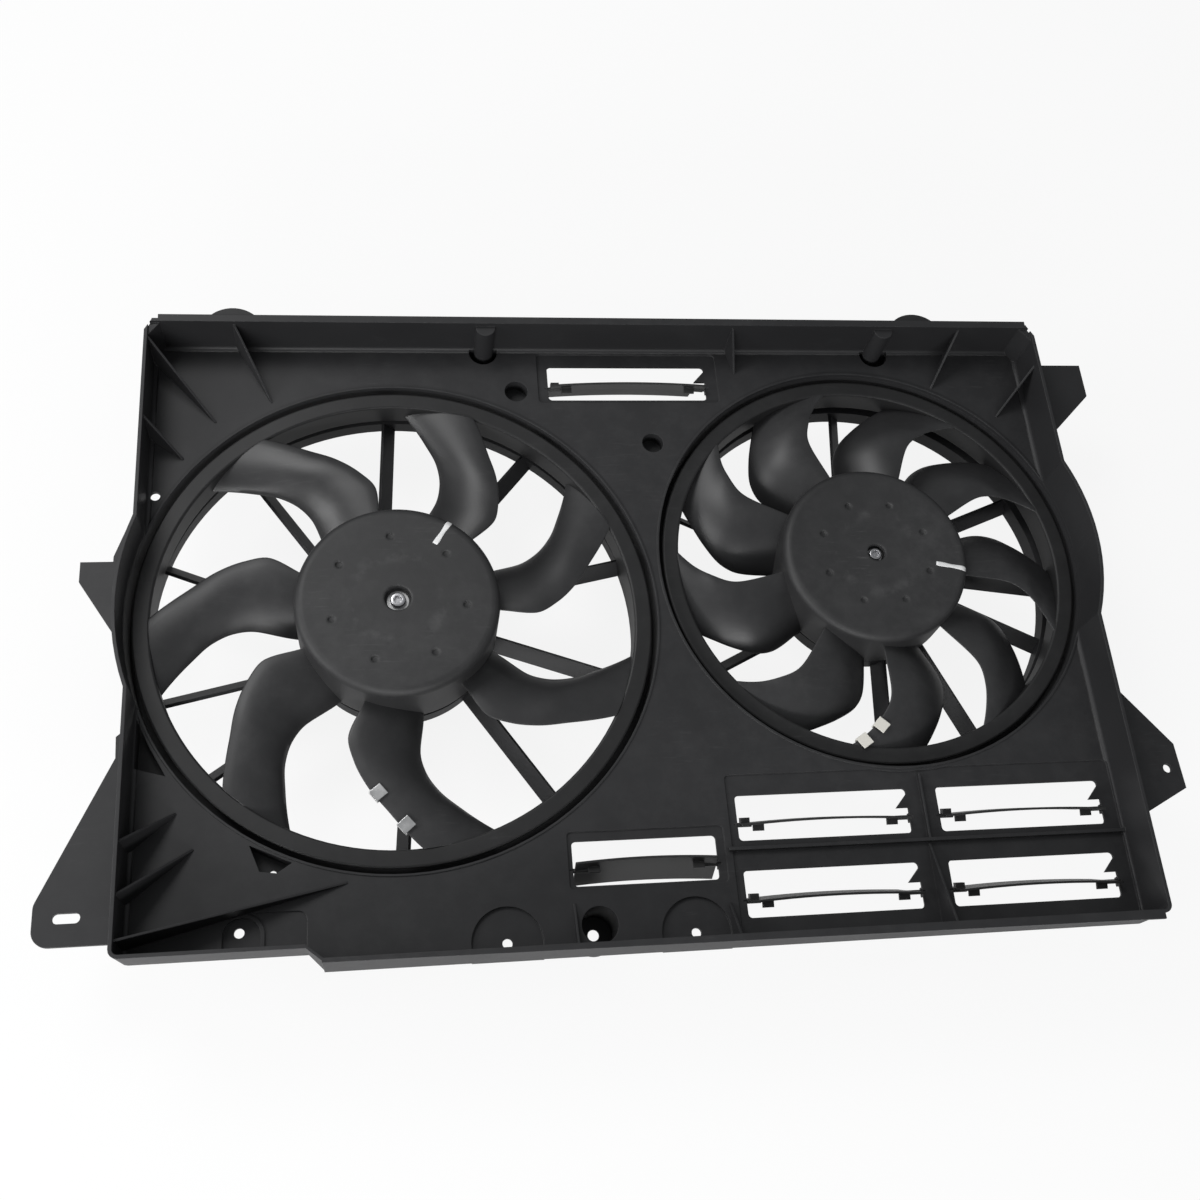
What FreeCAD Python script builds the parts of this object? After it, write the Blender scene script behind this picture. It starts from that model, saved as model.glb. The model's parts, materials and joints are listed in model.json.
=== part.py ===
import FreeCAD, Part
import math
import os

# Dual radiator fan module, millimetres.
# Drawn with z = 0 on the front face of the shroud's plate, x across, y towards the shroud's top,
# z towards the radiator. At the end everything moves to its hand-in origin: the centre of the
# bounding box at the height of the surface that the module lies on, on its two motors.

# The two ducts drive the tray: room above, below and beside each of them
LEFT_DUCT_R = 190.0
RIGHT_DUCT_R = 166.5
DUCT_GAP = 7.858
LEFT_TOP_ROOM = 38.25
LEFT_LOW_ROOM = 60.75
RIGHT_TOP_ROOM = 25.0
FLAP_FIELD = 121.0
LEFT_BULGE = 8.5
RIGHT_BULGE = 10.5

# Shroud tray
WALL = 2.5
PLATE = 3.0
TRAY_DEPTH = 36.0
CORNER_R = 6.0
CORNER_CLIP_X, CORNER_CLIP_Y = 8.0, 10.0
CORNER_FILL = 1.5
TOP_LIP = 3.5
TOP_LIP_LATE = 3.5
BOTTOM_LIP = 4.0
BOTTOM_LIP_START = 128.0
LOW_EDGE_UP = 9.0
LOW_EDGE_LEAN = 5.0
LOW_EDGE_STEP = 9.0
FILLET = 4.0
MIDDLE_DROP = 2.5

TRAY_HEIGHT = max(2 * LEFT_DUCT_R + LEFT_TOP_ROOM + LEFT_LOW_ROOM,
                  2 * RIGHT_DUCT_R + RIGHT_TOP_ROOM + FLAP_FIELD)
TOP = TRAY_HEIGHT / 2 - MIDDLE_DROP
BOTTOM = -TRAY_HEIGHT / 2 - MIDDLE_DROP
LEFT_Y = TOP - LEFT_TOP_ROOM - LEFT_DUCT_R
RIGHT_Y = TOP - RIGHT_TOP_ROOM - RIGHT_DUCT_R
DUCTS_APART = LEFT_DUCT_R + RIGHT_DUCT_R + DUCT_GAP
DUCTS_ACROSS = math.sqrt(DUCTS_APART ** 2 - (RIGHT_Y - LEFT_Y) ** 2)
HALF = (LEFT_DUCT_R + RIGHT_DUCT_R + DUCTS_ACROSS - LEFT_BULGE - RIGHT_BULGE) / 2
LEFT_X = -HALF - LEFT_BULGE + LEFT_DUCT_R
RIGHT_X = HALF + RIGHT_BULGE - RIGHT_DUCT_R
MEET_X = LEFT_X + LEFT_DUCT_R
TOP_LIP_HALF = HALF - CORNER_R

# Barrels of the ducts: ledge behind the fan's ring and the lip that carries the vanes
LEFT_LEDGE = 14.0
RIGHT_LEDGE = 16.0
LEFT_LEDGE_Z = -30.0
RIGHT_LEDGE_Z = -33.0
LEFT_LIP_BACK_Z = -41.0
RIGHT_LIP_BACK_Z = -47.0
LEFT_LIP_R = LEFT_DUCT_R - LEFT_LEDGE
RIGHT_LIP_R = RIGHT_DUCT_R - RIGHT_LEDGE

# Fan rings, blades and hubs
RING_INSET_LEFT, RING_INSET_RIGHT = 17.0, 16.0
FLARE_GAP_LEFT, FLARE_GAP_RIGHT = 4.4, 3.7
LEFT_RING_R = LEFT_DUCT_R - RING_INSET_LEFT
RIGHT_RING_R = RIGHT_DUCT_R - RING_INSET_RIGHT
LEFT_FLARE_R = LEFT_DUCT_R - FLARE_GAP_LEFT
RIGHT_FLARE_R = RIGHT_DUCT_R - FLARE_GAP_RIGHT
RING_WALL = 2.6
FLARE_WALL = 3.0
LEFT_RING_Z = -1.0
RIGHT_RING_Z = -5.0
RING_DEPTH = 19.0
HUB_R = 72.5
HUB_WALL = 3.0
HUB_EDGE = [(6.0, 0.0), (3.7, 0.5), (1.8, 1.8), (0.5, 3.7), (0.0, 6.0)]
LEFT_HUB_Z = 27.0
RIGHT_HUB_Z = 11.5
LEFT_HUB_BACK_Z = -21.0
RIGHT_HUB_BACK_Z = -31.0
# how many dimples, then the radius of their circle and the angle of the first
LEFT_DIMPLES, LEFT_DIMPLE_CIRCLE = 7, (48.7, 95.5)
RIGHT_DIMPLES, RIGHT_DIMPLE_CIRCLE = 8, (42.9, 112.5)
DIMPLE_R = 2.6
DIMPLE_DEPTH = 1.2
LEFT_RECESS_R, RIGHT_RECESS_R = 9.5, 7.0
RECESS_DEPTH = 6.0
HUB_BOSS_WALL = 6.0
HUB_BOSS_DEPTH = 24.0
HUB_RIBS = 8
HUB_RIB_WALL = 2.0
HUB_RIB_DEPTH = 12.0

# Blade sections: share of the way from hub to ring, angle of the middle, chord angle,
# height of the leading edge, height of the trailing edge, camber
LEFT_BLADE_ANGLES = [219.0, 267.0, 324.0, 15.3, 61.9, 116.1, 172.6]
LEFT_SECTIONS = [
    (0.00, 0.0, 34.0, 5.0, -19.0, 4.0),
    (0.26, -3.6, 29.5, 6.0, -16.0, 6.0),
    (0.42, -1.1, 24.8, 5.0, -14.0, 6.0),
    (0.58, 3.6, 21.4, 4.0, -13.0, 6.0),
    (0.73, 9.1, 19.4, 2.0, -13.5, 5.0),
    (1.00, 17.3, 18.0, -1.0, -15.0, 3.0),
]
RIGHT_BLADE_ANGLES = [163.7, 203.7, 246.7, 283.7, 323.7, 3.7, 43.7, 80.2, 123.7]
RIGHT_SECTIONS = [
    (0.00, 0.0, 33.0, 0.0, -29.5, 4.0),
    (0.33, 0.0, 30.3, -1.0, -28.5, 7.0),
    (0.50, -2.0, 27.6, -1.5, -26.5, 7.0),
    (0.67, -7.0, 24.8, -2.5, -23.5, 6.0),
    (0.81, -11.7, 23.2, -5.0, -21.5, 5.0),
    (1.00, -18.5, 22.8, -6.0, -21.0, 3.0),
]
BLADE_THICKNESS = 2.6
BLADE_ROOT = 4.0
BLADE_SPANS = 8

# Balance clips on the leading edge of one blade of each fan
CLIP_LENGTH = 8.0
CLIP_WIDTH = 9.0
CLIP_WALL = 0.9
CLIP_GAP = 3.1
CLIP_TILT = 22.0
CLIP_NOSE = 0.7
CLIP_RING_GAP = 0.3
LEFT_CLIP_BLADE, LEFT_CLIP_SHARES = 1, (0.63, 0.83)
RIGHT_CLIP_BLADE, RIGHT_CLIP_SHARES = 3, (0.73, 0.88)

# Stators: angled vanes and the motor ring
LEFT_VANE_ANGLES = [18.0, 56.0, 93.0, 131.0, 164.0, 199.0, 221.0, 271.5, 310.0, 346.0]
RIGHT_VANE_ANGLES = [27.0, 90.5, 117.0, 159.5, 186.0, 212.0, 243.0, 271.4, 299.5, 338.0, 357.5]
VANE_CHORD = 13.0
VANE_WALL = 2.6
VANE_STAGGER = 40.0
VANE_LEAN = 6.0
MOTOR_RING_R = HUB_R - 1.5
MOTOR_RING_WALL = 3.0
MOTOR_RING_DEPTH = 12.0
SEAT_WALL = 3.0
SEAT_GAP = 0.3
LUG_CIRCLE = HUB_R - 9.5
LUG_R = 7.5
LUG_COUNT = 3
LUG_FIRST = 30.0

# Motors
MOTOR_BACK_Z = -80.0
LEFT_CAN_R = HUB_R - 18.5
RIGHT_CAN_R = HUB_R - 22.5
CAN_WALL = 2.0
CAN_ROUND = 5.0
COVER_STEP = 8.0
COVER_WALL = 2.0
COVER_LENGTH = 22.0
COVER_ROUND = 4.0
SHAFT_R = 4.0
SHAFT_RUN = 0.05
SHAFT_HOLE_GAP = 2.0
BEARING_R = 11.0
BEARING_LENGTH = 7.0
BEARING_CUP = 1.6
ARMATURE_INSET = 16.0
ARMATURE_SLOTS = 12
SLOT_WIDTH = 5.0
SLOT_DEPTH = 11.0
AIR_GAP = 1.0
MAGNETS = 4
MAGNET_ANGLE = 64.0
WINDING_INSET = 5.0
WINDING_LENGTH = 6.0
WINDING_CHAMFER = 1.8
COIL_ROOM = 6.0
COMMUTATOR_R = 12.0
COMMUTATOR_LENGTH = 11.0
BRUSHES = 4
BRUSH_WIDTH = 6.0
BRUSH_LENGTH = 14.0
BRUSH_GAP = 0.3
CARD_WALL = 2.5
CARD_BACK = 5.0
SCREW_R = 2.5
SCREW_HEAD_R = 5.0
SCREW_HEAD = 3.5
LEFT_HEAD_R, RIGHT_HEAD_R = 5.5, 4.9
HUB_SCREW_HEAD = 3.6
HUB_SCREW_LENGTH = 11.0
LEFT_INSERT_R, RIGHT_INSERT_R = 8.0, 6.0
SOCKET_X, SOCKET_Y, SOCKET_Z = 22.0, 15.0, 13.0
SOCKET_WALL = 1.5
SOCKET_FLOOR = 5.0
SOCKET_UP = 14.0
TERMINAL_X, TERMINAL_Z = 4.8, 0.8
TERMINAL_PITCH = 9.0

# Flap windows, chained from the right wall towards the left: left edge, lower edge, width, height
WINDOW_W, WINDOW_H = 126.0, 32.5
RIGHT_WINDOW_W = WINDOW_W - 2.0
LOWER_W, TOP_W, SHORT_H = 101.0, 127.0, 31.0
RIGHT_WINDOW_X = HALF - WALL - 12.0 - RIGHT_WINDOW_W
LEFT_WINDOW_X = RIGHT_WINDOW_X - 22.5 - WINDOW_W
LOWER_X = LEFT_WINDOW_X - 17.0 - LOWER_W
UPPER_ROW_Y = BOTTOM + 40.0 + WINDOW_H
LOWER_ROW_Y = BOTTOM + 19.0
WINDOWS = {
    "top": (MEET_X - 68.5, TOP - 17.5 - SHORT_H, TOP_W, SHORT_H),
    "lower": (LOWER_X, BOTTOM + 46.5, LOWER_W, SHORT_H),
    "upper_left": (LEFT_WINDOW_X, UPPER_ROW_Y, WINDOW_W, WINDOW_H),
    "upper_right": (RIGHT_WINDOW_X, UPPER_ROW_Y, RIGHT_WINDOW_W, WINDOW_H),
    "lower_left": (LEFT_WINDOW_X, LOWER_ROW_Y, WINDOW_W, WINDOW_H),
    "lower_right": (RIGHT_WINDOW_X, LOWER_ROW_Y, RIGHT_WINDOW_W, WINDOW_H),
}
WINDOW_R = 3.0
WINDOW_GUSSET = 9.0
GUSSET_FOOT = 14.0
FLAP_GAP = 1.2
FLAP_WALL = 1.6
FLAP_BOW = 2.2
FLAP_PIVOT_SHARE = 0.36
FLAP_OPEN = 75.0
LOWER_FLAP_OPEN = 108.0
PIN_R = 1.6
PIN_DROP = 1.4
PIN_LENGTH = 3.2
PIN_ROOT = 9.0
PIN_RUN = 0.08
PIN_END_GAP = 0.4
EAR_WALL = 2.0
EAR_DEPTH = 5.0
EAR_REACH = 3.2
FLAP_FOOT = 8.0
SUNK = 1.2

# Ears, tabs and tongues, all held from the tray's walls
EAR_PLATE = 3.0
EAR_R = 18.0
SLOT_OUT, SLOT_UP, SLOT_LENGTH, SLOT_R = 33.5, 43.0, 17.5, 3.4
EAR_HOLE_OUT, EAR_HOLE_UP, EAR_HOLE_R = 43.5, 111.5, 3.4
TAB_FLANGE = 8.0
TONGUE_R = 24.0
TONGUE_RISE = 23.0
TONGUE_Z = 14.0
TONGUE_X = (-HALF + 61.5, HALF - 92.5)

# Locator socket, pads and the small holes
LOCATOR_X, LOCATOR_Y = MEET_X - 61.0, BOTTOM + 20.0
LOCATOR_R = 12.5
LOCATOR_WALL = 2.0
LOCATOR_DEPTH = 40.0
LOCATOR_HOLE_R = 4.0
PAD_R = 24.0
PAD_SUNK = 2.4
PAD_HOLE_R = 3.4
PAD_X = (MEET_X - 123.5, MEET_X + 4.5)
PAD_Y = BOTTOM + 11.5
POCKET_DEPTH = 14.0
TAB_X, TAB_W, TAB_R = -HALF + 64.0, 24.5, 11.0
TAB_FOOT = BOTTOM + LOW_EDGE_UP + LOW_EDGE_LEAN
GUSSET_WALL = 1.6
BLIND_POCKETS = [(MEET_X - 94.0, TOP - 41.0, 9.0, 12.0), (MEET_X + 10.5, TOP - 88.0, 8.3, 12.0),
                 (MEET_X - 118.5, TOP - 5.0, 11.0, 14.0), (RIGHT_X + 31.0, TOP - 5.5, 11.5, 14.0)]
KNOB_X = (MEET_X - 118.0, RIGHT_X + 30.0)
KNOB_R = 7.5
KNOB_FOOT_Z, KNOB_TOP_Z = -14.5, 32.0
BEAD = 1.6
BEAD_HEIGHT = 0.8
LOW_DUCT_CUT_Z = -100.0


def vec(x, y, z=0.0):
    return FreeCAD.Vector(x, y, z)


def disc(x, y, radius, z0, z1):
    return Part.makeCylinder(radius, z1 - z0, vec(x, y, z0))


def tube(x, y, outer, inner, z0, z1):
    return disc(x, y, outer, z0, z1).cut(disc(x, y, inner, z0 - 1, z1 + 1))


def slab(x0, y0, x1, y1, z0, z1):
    return Part.makeBox(x1 - x0, y1 - y0, z1 - z0, vec(x0, y0, z0))


def outline(points, z):
    return Part.makePolygon([vec(x, y, z) for x, y in points + points[:1]])


def prism(points, z0, z1):
    return Part.Face(outline(points, z0)).extrude(vec(0, 0, z1 - z0))


def grown_prism(points, extra, z0, z1):
    return Part.Face(outline(points, z0).makeOffset2D(extra, 2)).extrude(vec(0, 0, z1 - z0))


def rounded_slab(x0, y0, x1, y1, z0, z1, radius):
    block = slab(x0, y0, x1, y1, z0, z1)
    upright = [e for e in block.Edges if abs(e.Vertexes[0].Z - e.Vertexes[1].Z) > 1e-6]
    return block.makeFillet(radius, upright)


def turned(profile, x, y):
    wire = Part.makePolygon([vec(r, 0, z) for r, z in profile + profile[:1]])
    solid = Part.Face(wire).revolve(vec(0, 0, 0), vec(0, 0, 1), 360)
    solid.translate(vec(x, y, 0))
    return solid


def around(shape, x, y, angle):
    copy = shape.copy()
    copy.rotate(vec(x, y, 0), vec(0, 0, 1), angle)
    return copy


def polar(x, y, radius, angle):
    a = math.radians(angle)
    return x + radius * math.cos(a), y + radius * math.sin(a)


def fuse(shapes):
    whole = shapes[0].multiFuse(shapes[1:]) if len(shapes) > 1 else shapes[0]
    return whole.removeSplitter()


def gusset(x0, y0, x1, y1, height):
    # a rib as tall as the wall at its first end, running out to nothing on the plate
    length = math.hypot(x1 - x0, y1 - y0)
    side = Part.makePolygon([vec(-1, 0, -1), vec(length, 0, -1), vec(length, 0, 0.4),
                             vec(0, 0, height), vec(-1, 0, height), vec(-1, 0, -1)])
    rib = Part.Face(side).extrude(vec(0, GUSSET_WALL, 0))
    rib.translate(vec(0, -GUSSET_WALL / 2, 0))
    rib.rotate(vec(0, 0, 0), vec(0, 0, 1), math.degrees(math.atan2(y1 - y0, x1 - x0)))
    rib.translate(vec(x0, y0, 0))
    return rib


def window_pivot(name):
    # the flap's pivot line: its height in y and its middle in x
    x, y, width, height = WINDOWS[name]
    return x + width / 2, y + FLAP_PIVOT_SHARE * height, -PLATE / 2


def window_cut(name):
    x, y, width, height = WINDOWS[name]
    cut = rounded_slab(x, y, x + width, y + height, -PLATE - 1, 1, WINDOW_R)
    if name == "lower":
        return cut
    low = y + height - GUSSET_FOOT
    corner = [(x + width + 1, low), (x + width + 1, y + height - 3), (x + width - WINDOW_GUSSET, low)]
    return cut.cut(prism(corner, -PLATE - 1, 1))


def window_ears(name):
    # two small ears behind the plate that hold the flap's pins
    x, y, width, height = WINDOWS[name]
    px, py, pz = window_pivot(name)
    return [slab(side, py - EAR_REACH, side + EAR_WALL, py + EAR_REACH, pz - EAR_DEPTH, -PLATE)
            for side in (x - EAR_WALL, x + width)]


def pin_holes(name):
    x, y, width, height = WINDOWS[name]
    px, py, pz = window_pivot(name)
    length = width + 2 * (PIN_LENGTH + PIN_END_GAP - FLAP_GAP)
    return Part.makeCylinder(PIN_R + PIN_RUN, length, vec(px - length / 2, py, pz - PIN_DROP), vec(1, 0, 0))


def flap(name, opened):
    # thin plate bowed along its length, on two end pins, with two stop feet and a stop block,
    # drawn shut and then swung open
    x, y, width, height = WINDOWS[name]
    px, py, pz = window_pivot(name)
    z = pz - PIN_DROP
    x0, x1 = x + FLAP_GAP, x + width - FLAP_GAP
    y0, y1 = y + FLAP_GAP, y + height - FLAP_GAP
    near, far = z + FLAP_WALL / 2, z - FLAP_WALL / 2
    upper = Part.Arc(vec(x0, y0, near), vec(px, y0, near + FLAP_BOW), vec(x1, y0, near))
    lower = Part.Arc(vec(x1, y0, far), vec(px, y0, far + FLAP_BOW), vec(x0, y0, far))
    section = Part.Wire([upper.toShape(), Part.makeLine(vec(x1, y0, near), vec(x1, y0, far)),
                         lower.toShape(), Part.makeLine(vec(x0, y0, far), vec(x0, y0, near))])
    plate = Part.Face(section).extrude(vec(0, y1 - y0, 0))
    if name != "lower":
        # the corner that the window's gusset fills is left out
        plate = plate.cut(slab(x1 - WINDOW_GUSSET, y1 - GUSSET_FOOT, x1 + 1, y1 + 1, z - 5, z + 5))
    parts = [plate, slab(x0 + 1.0, py - 2.0, x0 + 7.5, py + 3.0, z, z + 5.0)]
    for start in (x0 - PIN_LENGTH, x1 - PIN_ROOT):
        parts.append(Part.makeCylinder(PIN_R, PIN_LENGTH + PIN_ROOT, vec(start, py, z), vec(1, 0, 0)))
    for foot_x in (x0 + 9.0, x1 - 9.0 - FLAP_FOOT):
        parts.append(slab(foot_x, py - 4.6, foot_x + FLAP_FOOT, py - 3.0, z - 4.5, z + 0.6))
    whole = fuse(parts)
    whole.rotate(vec(px, py, z), vec(1, 0, 0), -opened)
    return whole


def duct(x, y, radius, lip_r, ledge_z, back_z):
    # barrel behind the plate: wall down to the ledge, the ledge, and the lip behind it
    outer = radius + WALL
    profile = [(radius, -PLATE), (outer, -PLATE), (outer, ledge_z - WALL), (lip_r + WALL, ledge_z - WALL),
               (lip_r + WALL, back_z), (lip_r, back_z), (lip_r, ledge_z), (radius, ledge_z)]
    return turned(profile, x, y)


def tray():
    outer = rounded_slab(-HALF, BOTTOM, HALF, TOP, -PLATE, TRAY_DEPTH, CORNER_R)
    inner = rounded_slab(-HALF + WALL, BOTTOM + WALL, HALF - WALL, TOP - WALL,
                         0, TRAY_DEPTH + 1, CORNER_R - WALL)
    foot = [e for e in inner.Edges if abs(e.CenterOfMass.z) < 1e-6]
    return outer, inner.makeFillet(min(FILLET, CORNER_R - WALL - 0.1), foot)


def low_edge_path(outer_y):
    # wall outline of the lower left stretch: down the left wall, round the corner, along and out
    centre_x, centre_y = -HALF + CORNER_R, outer_y + CORNER_R
    end = -HALF + BOTTOM_LIP_START
    outer = [(-HALF, BOTTOM + LOW_EDGE_UP + CORNER_R + 6)]
    inner = [(-HALF + WALL, BOTTOM + LOW_EDGE_UP + CORNER_R + 6)]
    for step in range(5):
        angle = 180 + step * 22.5
        outer.append(polar(centre_x, centre_y, CORNER_R, angle))
        inner.append(polar(centre_x, centre_y, CORNER_R - WALL, angle))
    outer += [(end - LOW_EDGE_STEP, outer_y), (end + 2, BOTTOM)]
    inner += [(end - LOW_EDGE_STEP, outer_y + WALL), (end + 2, BOTTOM + WALL)]
    return outer + inner[::-1]


def low_left_edge():
    # this stretch of the bottom wall stands further in at its foot and leans outwards
    foot = BOTTOM + LOW_EDGE_UP + LOW_EDGE_LEAN - WALL
    rim = BOTTOM + LOW_EDGE_UP
    return Part.makeLoft([outline(low_edge_path(foot), -PLATE), outline(low_edge_path(rim), TRAY_DEPTH)],
                         True, True)


def beyond_low_edge():
    foot = BOTTOM + LOW_EDGE_UP + LOW_EDGE_LEAN - WALL / 2
    end = -HALF + BOTTOM_LIP_START
    points = [(-HALF - 1, BOTTOM - 1), (end + 1, BOTTOM - 1), (end + 1, BOTTOM + WALL / 2),
              (end - LOW_EDGE_STEP, foot), (-HALF + 5, foot), (-HALF + WALL / 2, foot + 5),
              (-HALF - 1, foot + 5)]
    return prism(points, -PLATE - 1, TRAY_DEPTH + 1)


def ears():
    inside = HALF - 1
    slot_x, slot_y = -HALF - SLOT_OUT, BOTTOM + SLOT_UP
    low, tip = slot_y - EAR_R, slot_x - EAR_R - 3.0
    left = prism([(-inside, slot_y + 130), (-HALF - 9.5, slot_y + 121), (-HALF - 9.0, slot_y + 106),
                  (tip, slot_y + 9), (tip, low), (-inside, low)], -PLATE, 0)
    corner = [e for e in left.Edges if abs(e.Vertexes[0].Z - e.Vertexes[1].Z) > 1e-6
              and e.CenterOfMass.x < slot_x - EAR_R]
    left = left.makeFillet(EAR_R * 0.6, corner)
    reach = SLOT_LENGTH / 2 - SLOT_R
    left = left.cut(slab(slot_x - reach, slot_y - SLOT_R, slot_x + reach, slot_y + SLOT_R, -PLATE - 1, 1))
    for end_x in (slot_x - reach, slot_x + reach):
        left = left.cut(disc(end_x, slot_y, SLOT_R, -PLATE - 1, 1))
    hole_y = BOTTOM + EAR_HOLE_UP
    right = prism([(inside, hole_y + 89.5), (HALF + 53.0, hole_y + 18.5), (HALF + 54.5, hole_y - 15.5),
                   (inside, hole_y - 42.5)], -PLATE, 0)
    right = right.cut(disc(HALF + EAR_HOLE_OUT, hole_y, EAR_HOLE_R, -PLATE - 1, 1))
    return [left, right]


def tabs():
    # ribbed side tabs: a plate with a flange along its top edge and one rib behind it
    inside = HALF - 1
    level = LEFT_Y + 44.75
    left = [prism([(-inside, level), (-HALF - 41.0, level), (-HALF - 41.0, level - 15.5),
                   (-HALF - 17.0, level - 53.5), (-inside, level - 65.5)], -PLATE, 0),
            slab(-HALF - 41.0, level - WALL, -inside, level, -PLATE - TAB_FLANGE, -PLATE + 1),
            slab(-HALF - 31.2, level - 27.5, -HALF - 29.2, level - 1.5, -PLATE - TAB_FLANGE, -PLATE + 1),
            prism([(-inside, level + 40), (-HALF - 5, level + 37), (-HALF - 9, level + 31),
                   (-HALF - 18.5, level + 4), (-HALF - 18.5, level - 1), (-inside, level - 1)], -PLATE, 0)]
    high = TOP - 15.0
    right = [prism([(inside, high), (HALF + 54.5, high), (HALF + 54.5, high - 30.0),
                    (HALF + 21.0, high - 62.0), (inside, high - 82.0)], -PLATE, 0),
             slab(inside, high - WALL, HALF + 54.5, high, -PLATE - TAB_FLANGE, -PLATE + 1),
             slab(HALF + 35.0, high - 46.0, HALF + 37.0, high - 2.0, -PLATE - TAB_FLANGE, -PLATE + 1)]
    return left + right


def tongues():
    out = []
    for x in TONGUE_X:
        round_end = disc(x, TOP + TONGUE_RISE - TONGUE_R, TONGUE_R, TONGUE_Z, TONGUE_Z + EAR_PLATE)
        out.append(round_end.cut(slab(x - TONGUE_R - 1, TOP - 2 * TONGUE_R, x + TONGUE_R + 1, TOP - WALL,
                                      TONGUE_Z - 1, TONGUE_Z + EAR_PLATE + 1)))
    return out


def lips():
    top = slab(-TOP_LIP_HALF + TOP_LIP_LATE, TOP - 1, TOP_LIP_HALF, TOP + TOP_LIP,
               TRAY_DEPTH - WALL, TRAY_DEPTH)
    start, end = -HALF + BOTTOM_LIP_START, HALF - CORNER_R
    # the bottom lip grows from next to nothing towards the right
    bottom = prism([(start, BOTTOM + 1), (start, BOTTOM - 0.5), (end, BOTTOM - BOTTOM_LIP), (end, BOTTOM + 1)],
                   TRAY_DEPTH - WALL, TRAY_DEPTH)
    return [top, bottom]


def corner_fills():
    # the two top corners are filled inside, because their outside is clipped off
    reach_x, reach_y = CORNER_FILL * CORNER_CLIP_X, CORNER_FILL * CORNER_CLIP_Y
    return [prism([(s * (HALF - 1), TOP - reach_y), (s * (HALF - 1), TOP - 1),
                   (s * (HALF - reach_x), TOP - 1)], -PLATE, TRAY_DEPTH - WALL) for s in (-1, 1)]


def corner_clips():
    return [prism([(s * (HALF + 1), TOP - CORNER_CLIP_Y), (s * (HALF + 1), TOP + TOP_LIP + 1),
                   (s * (HALF - CORNER_CLIP_X + 3), TOP + TOP_LIP + 1), (s * (HALF - CORNER_CLIP_X + 3), TOP),
                   (s * (HALF - CORNER_CLIP_X + 3), TOP - 1), (s * HALF, TOP - CORNER_CLIP_Y)],
                  -PLATE - 1, TRAY_DEPTH + 1) for s in (-1, 1)]


def ribs():
    left, right = -HALF + WALL, HALF - WALL
    top, bottom = TOP - WALL, BOTTOM + WALL
    tall = TRAY_DEPTH - 4
    across = BOTTOM + 66.5
    between = RIGHT_WINDOW_X - 11.5
    return [gusset(-HALF + 64.5, top, -HALF + 90.5, TOP - 51.5, tall),
            gusset(left, TOP - 15, -HALF + 49.5, TOP - 69, 34.0),
            gusset(left, TOP - 82, -HALF + 27, TOP - 100.5, tall),
            gusset(HALF - 62, top, HALF - 81, TOP - 38, tall),
            gusset(right, TOP - 35, HALF - 30, TOP - 65, tall - 3),
            gusset(HALF - 250, top, HALF - 245, TOP - 24, tall),
            gusset(left, BOTTOM + 84, -HALF + 32, BOTTOM + 109, tall),
            gusset(left, BOTTOM + 50, -HALF + 44, BOTTOM + 84, tall),
            gusset(left, BOTTOM + 21, -HALF + 144, BOTTOM + 57, tall),
            gusset(LOCATOR_X - 16.5, bottom, LOCATOR_X - 16.5, BOTTOM + 35, 12.0),
            gusset(LEFT_WINDOW_X - 12, bottom, LEFT_WINDOW_X - 12, BOTTOM + 30, 24.0),
            gusset(between, bottom, between, BOTTOM + 64, 26.0),
            slab(LEFT_WINDOW_X - 9, across - 1.2, right, across + 1.2, -1, 3.0),
            slab(between - 0.8, across, between + 0.8, BOTTOM + 115, -1, 3.0)]


def locator():
    depth = LOCATOR_DEPTH
    shell = disc(LOCATOR_X, LOCATOR_Y, LOCATOR_R + LOCATOR_WALL, -depth, 0)
    bore = disc(LOCATOR_X, LOCATOR_Y, LOCATOR_R, -depth + LOCATOR_WALL, 1)
    hole = disc(LOCATOR_X, LOCATOR_Y, LOCATOR_HOLE_R, -depth - 1, 1)
    return shell, bore, hole


def blind_pocket(x, y, radius, depth):
    return disc(x, y, radius + WALL, -depth - WALL, 0), disc(x, y, radius, -depth, 1)


def sunk_areas():
    # shallow steps round the flap windows and beside the bottom left tab
    four = rounded_slab(LEFT_WINDOW_X - 6, BOTTOM + WALL, HALF - WALL - 1, BOTTOM + FLAP_FIELD - 1,
                        -SUNK, 1, WINDOW_R)
    four = four.cut(disc(RIGHT_X, RIGHT_Y, RIGHT_DUCT_R + WALL + 1, -5, 5))
    top = rounded_slab(MEET_X - 76.5, TOP - 51, MEET_X + 68.5, TOP - WALL - FILLET, -SUNK, 1, WINDOW_R)
    lower = rounded_slab(LOWER_X - 3, BOTTOM + 44.5, LOWER_X + LOWER_W + 6, BOTTOM + 84, -SUNK, 1, WINDOW_R)
    tab = rounded_slab(TAB_X + TAB_W / 2, TAB_FOOT - 20, TAB_X + 54, BOTTOM + 40, -SUNK, 1, 6.0)
    tab = tab.common(slab(-HALF, TAB_FOOT, HALF, TOP, -PLATE, 1))
    return [four, top, lower, tab]


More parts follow.
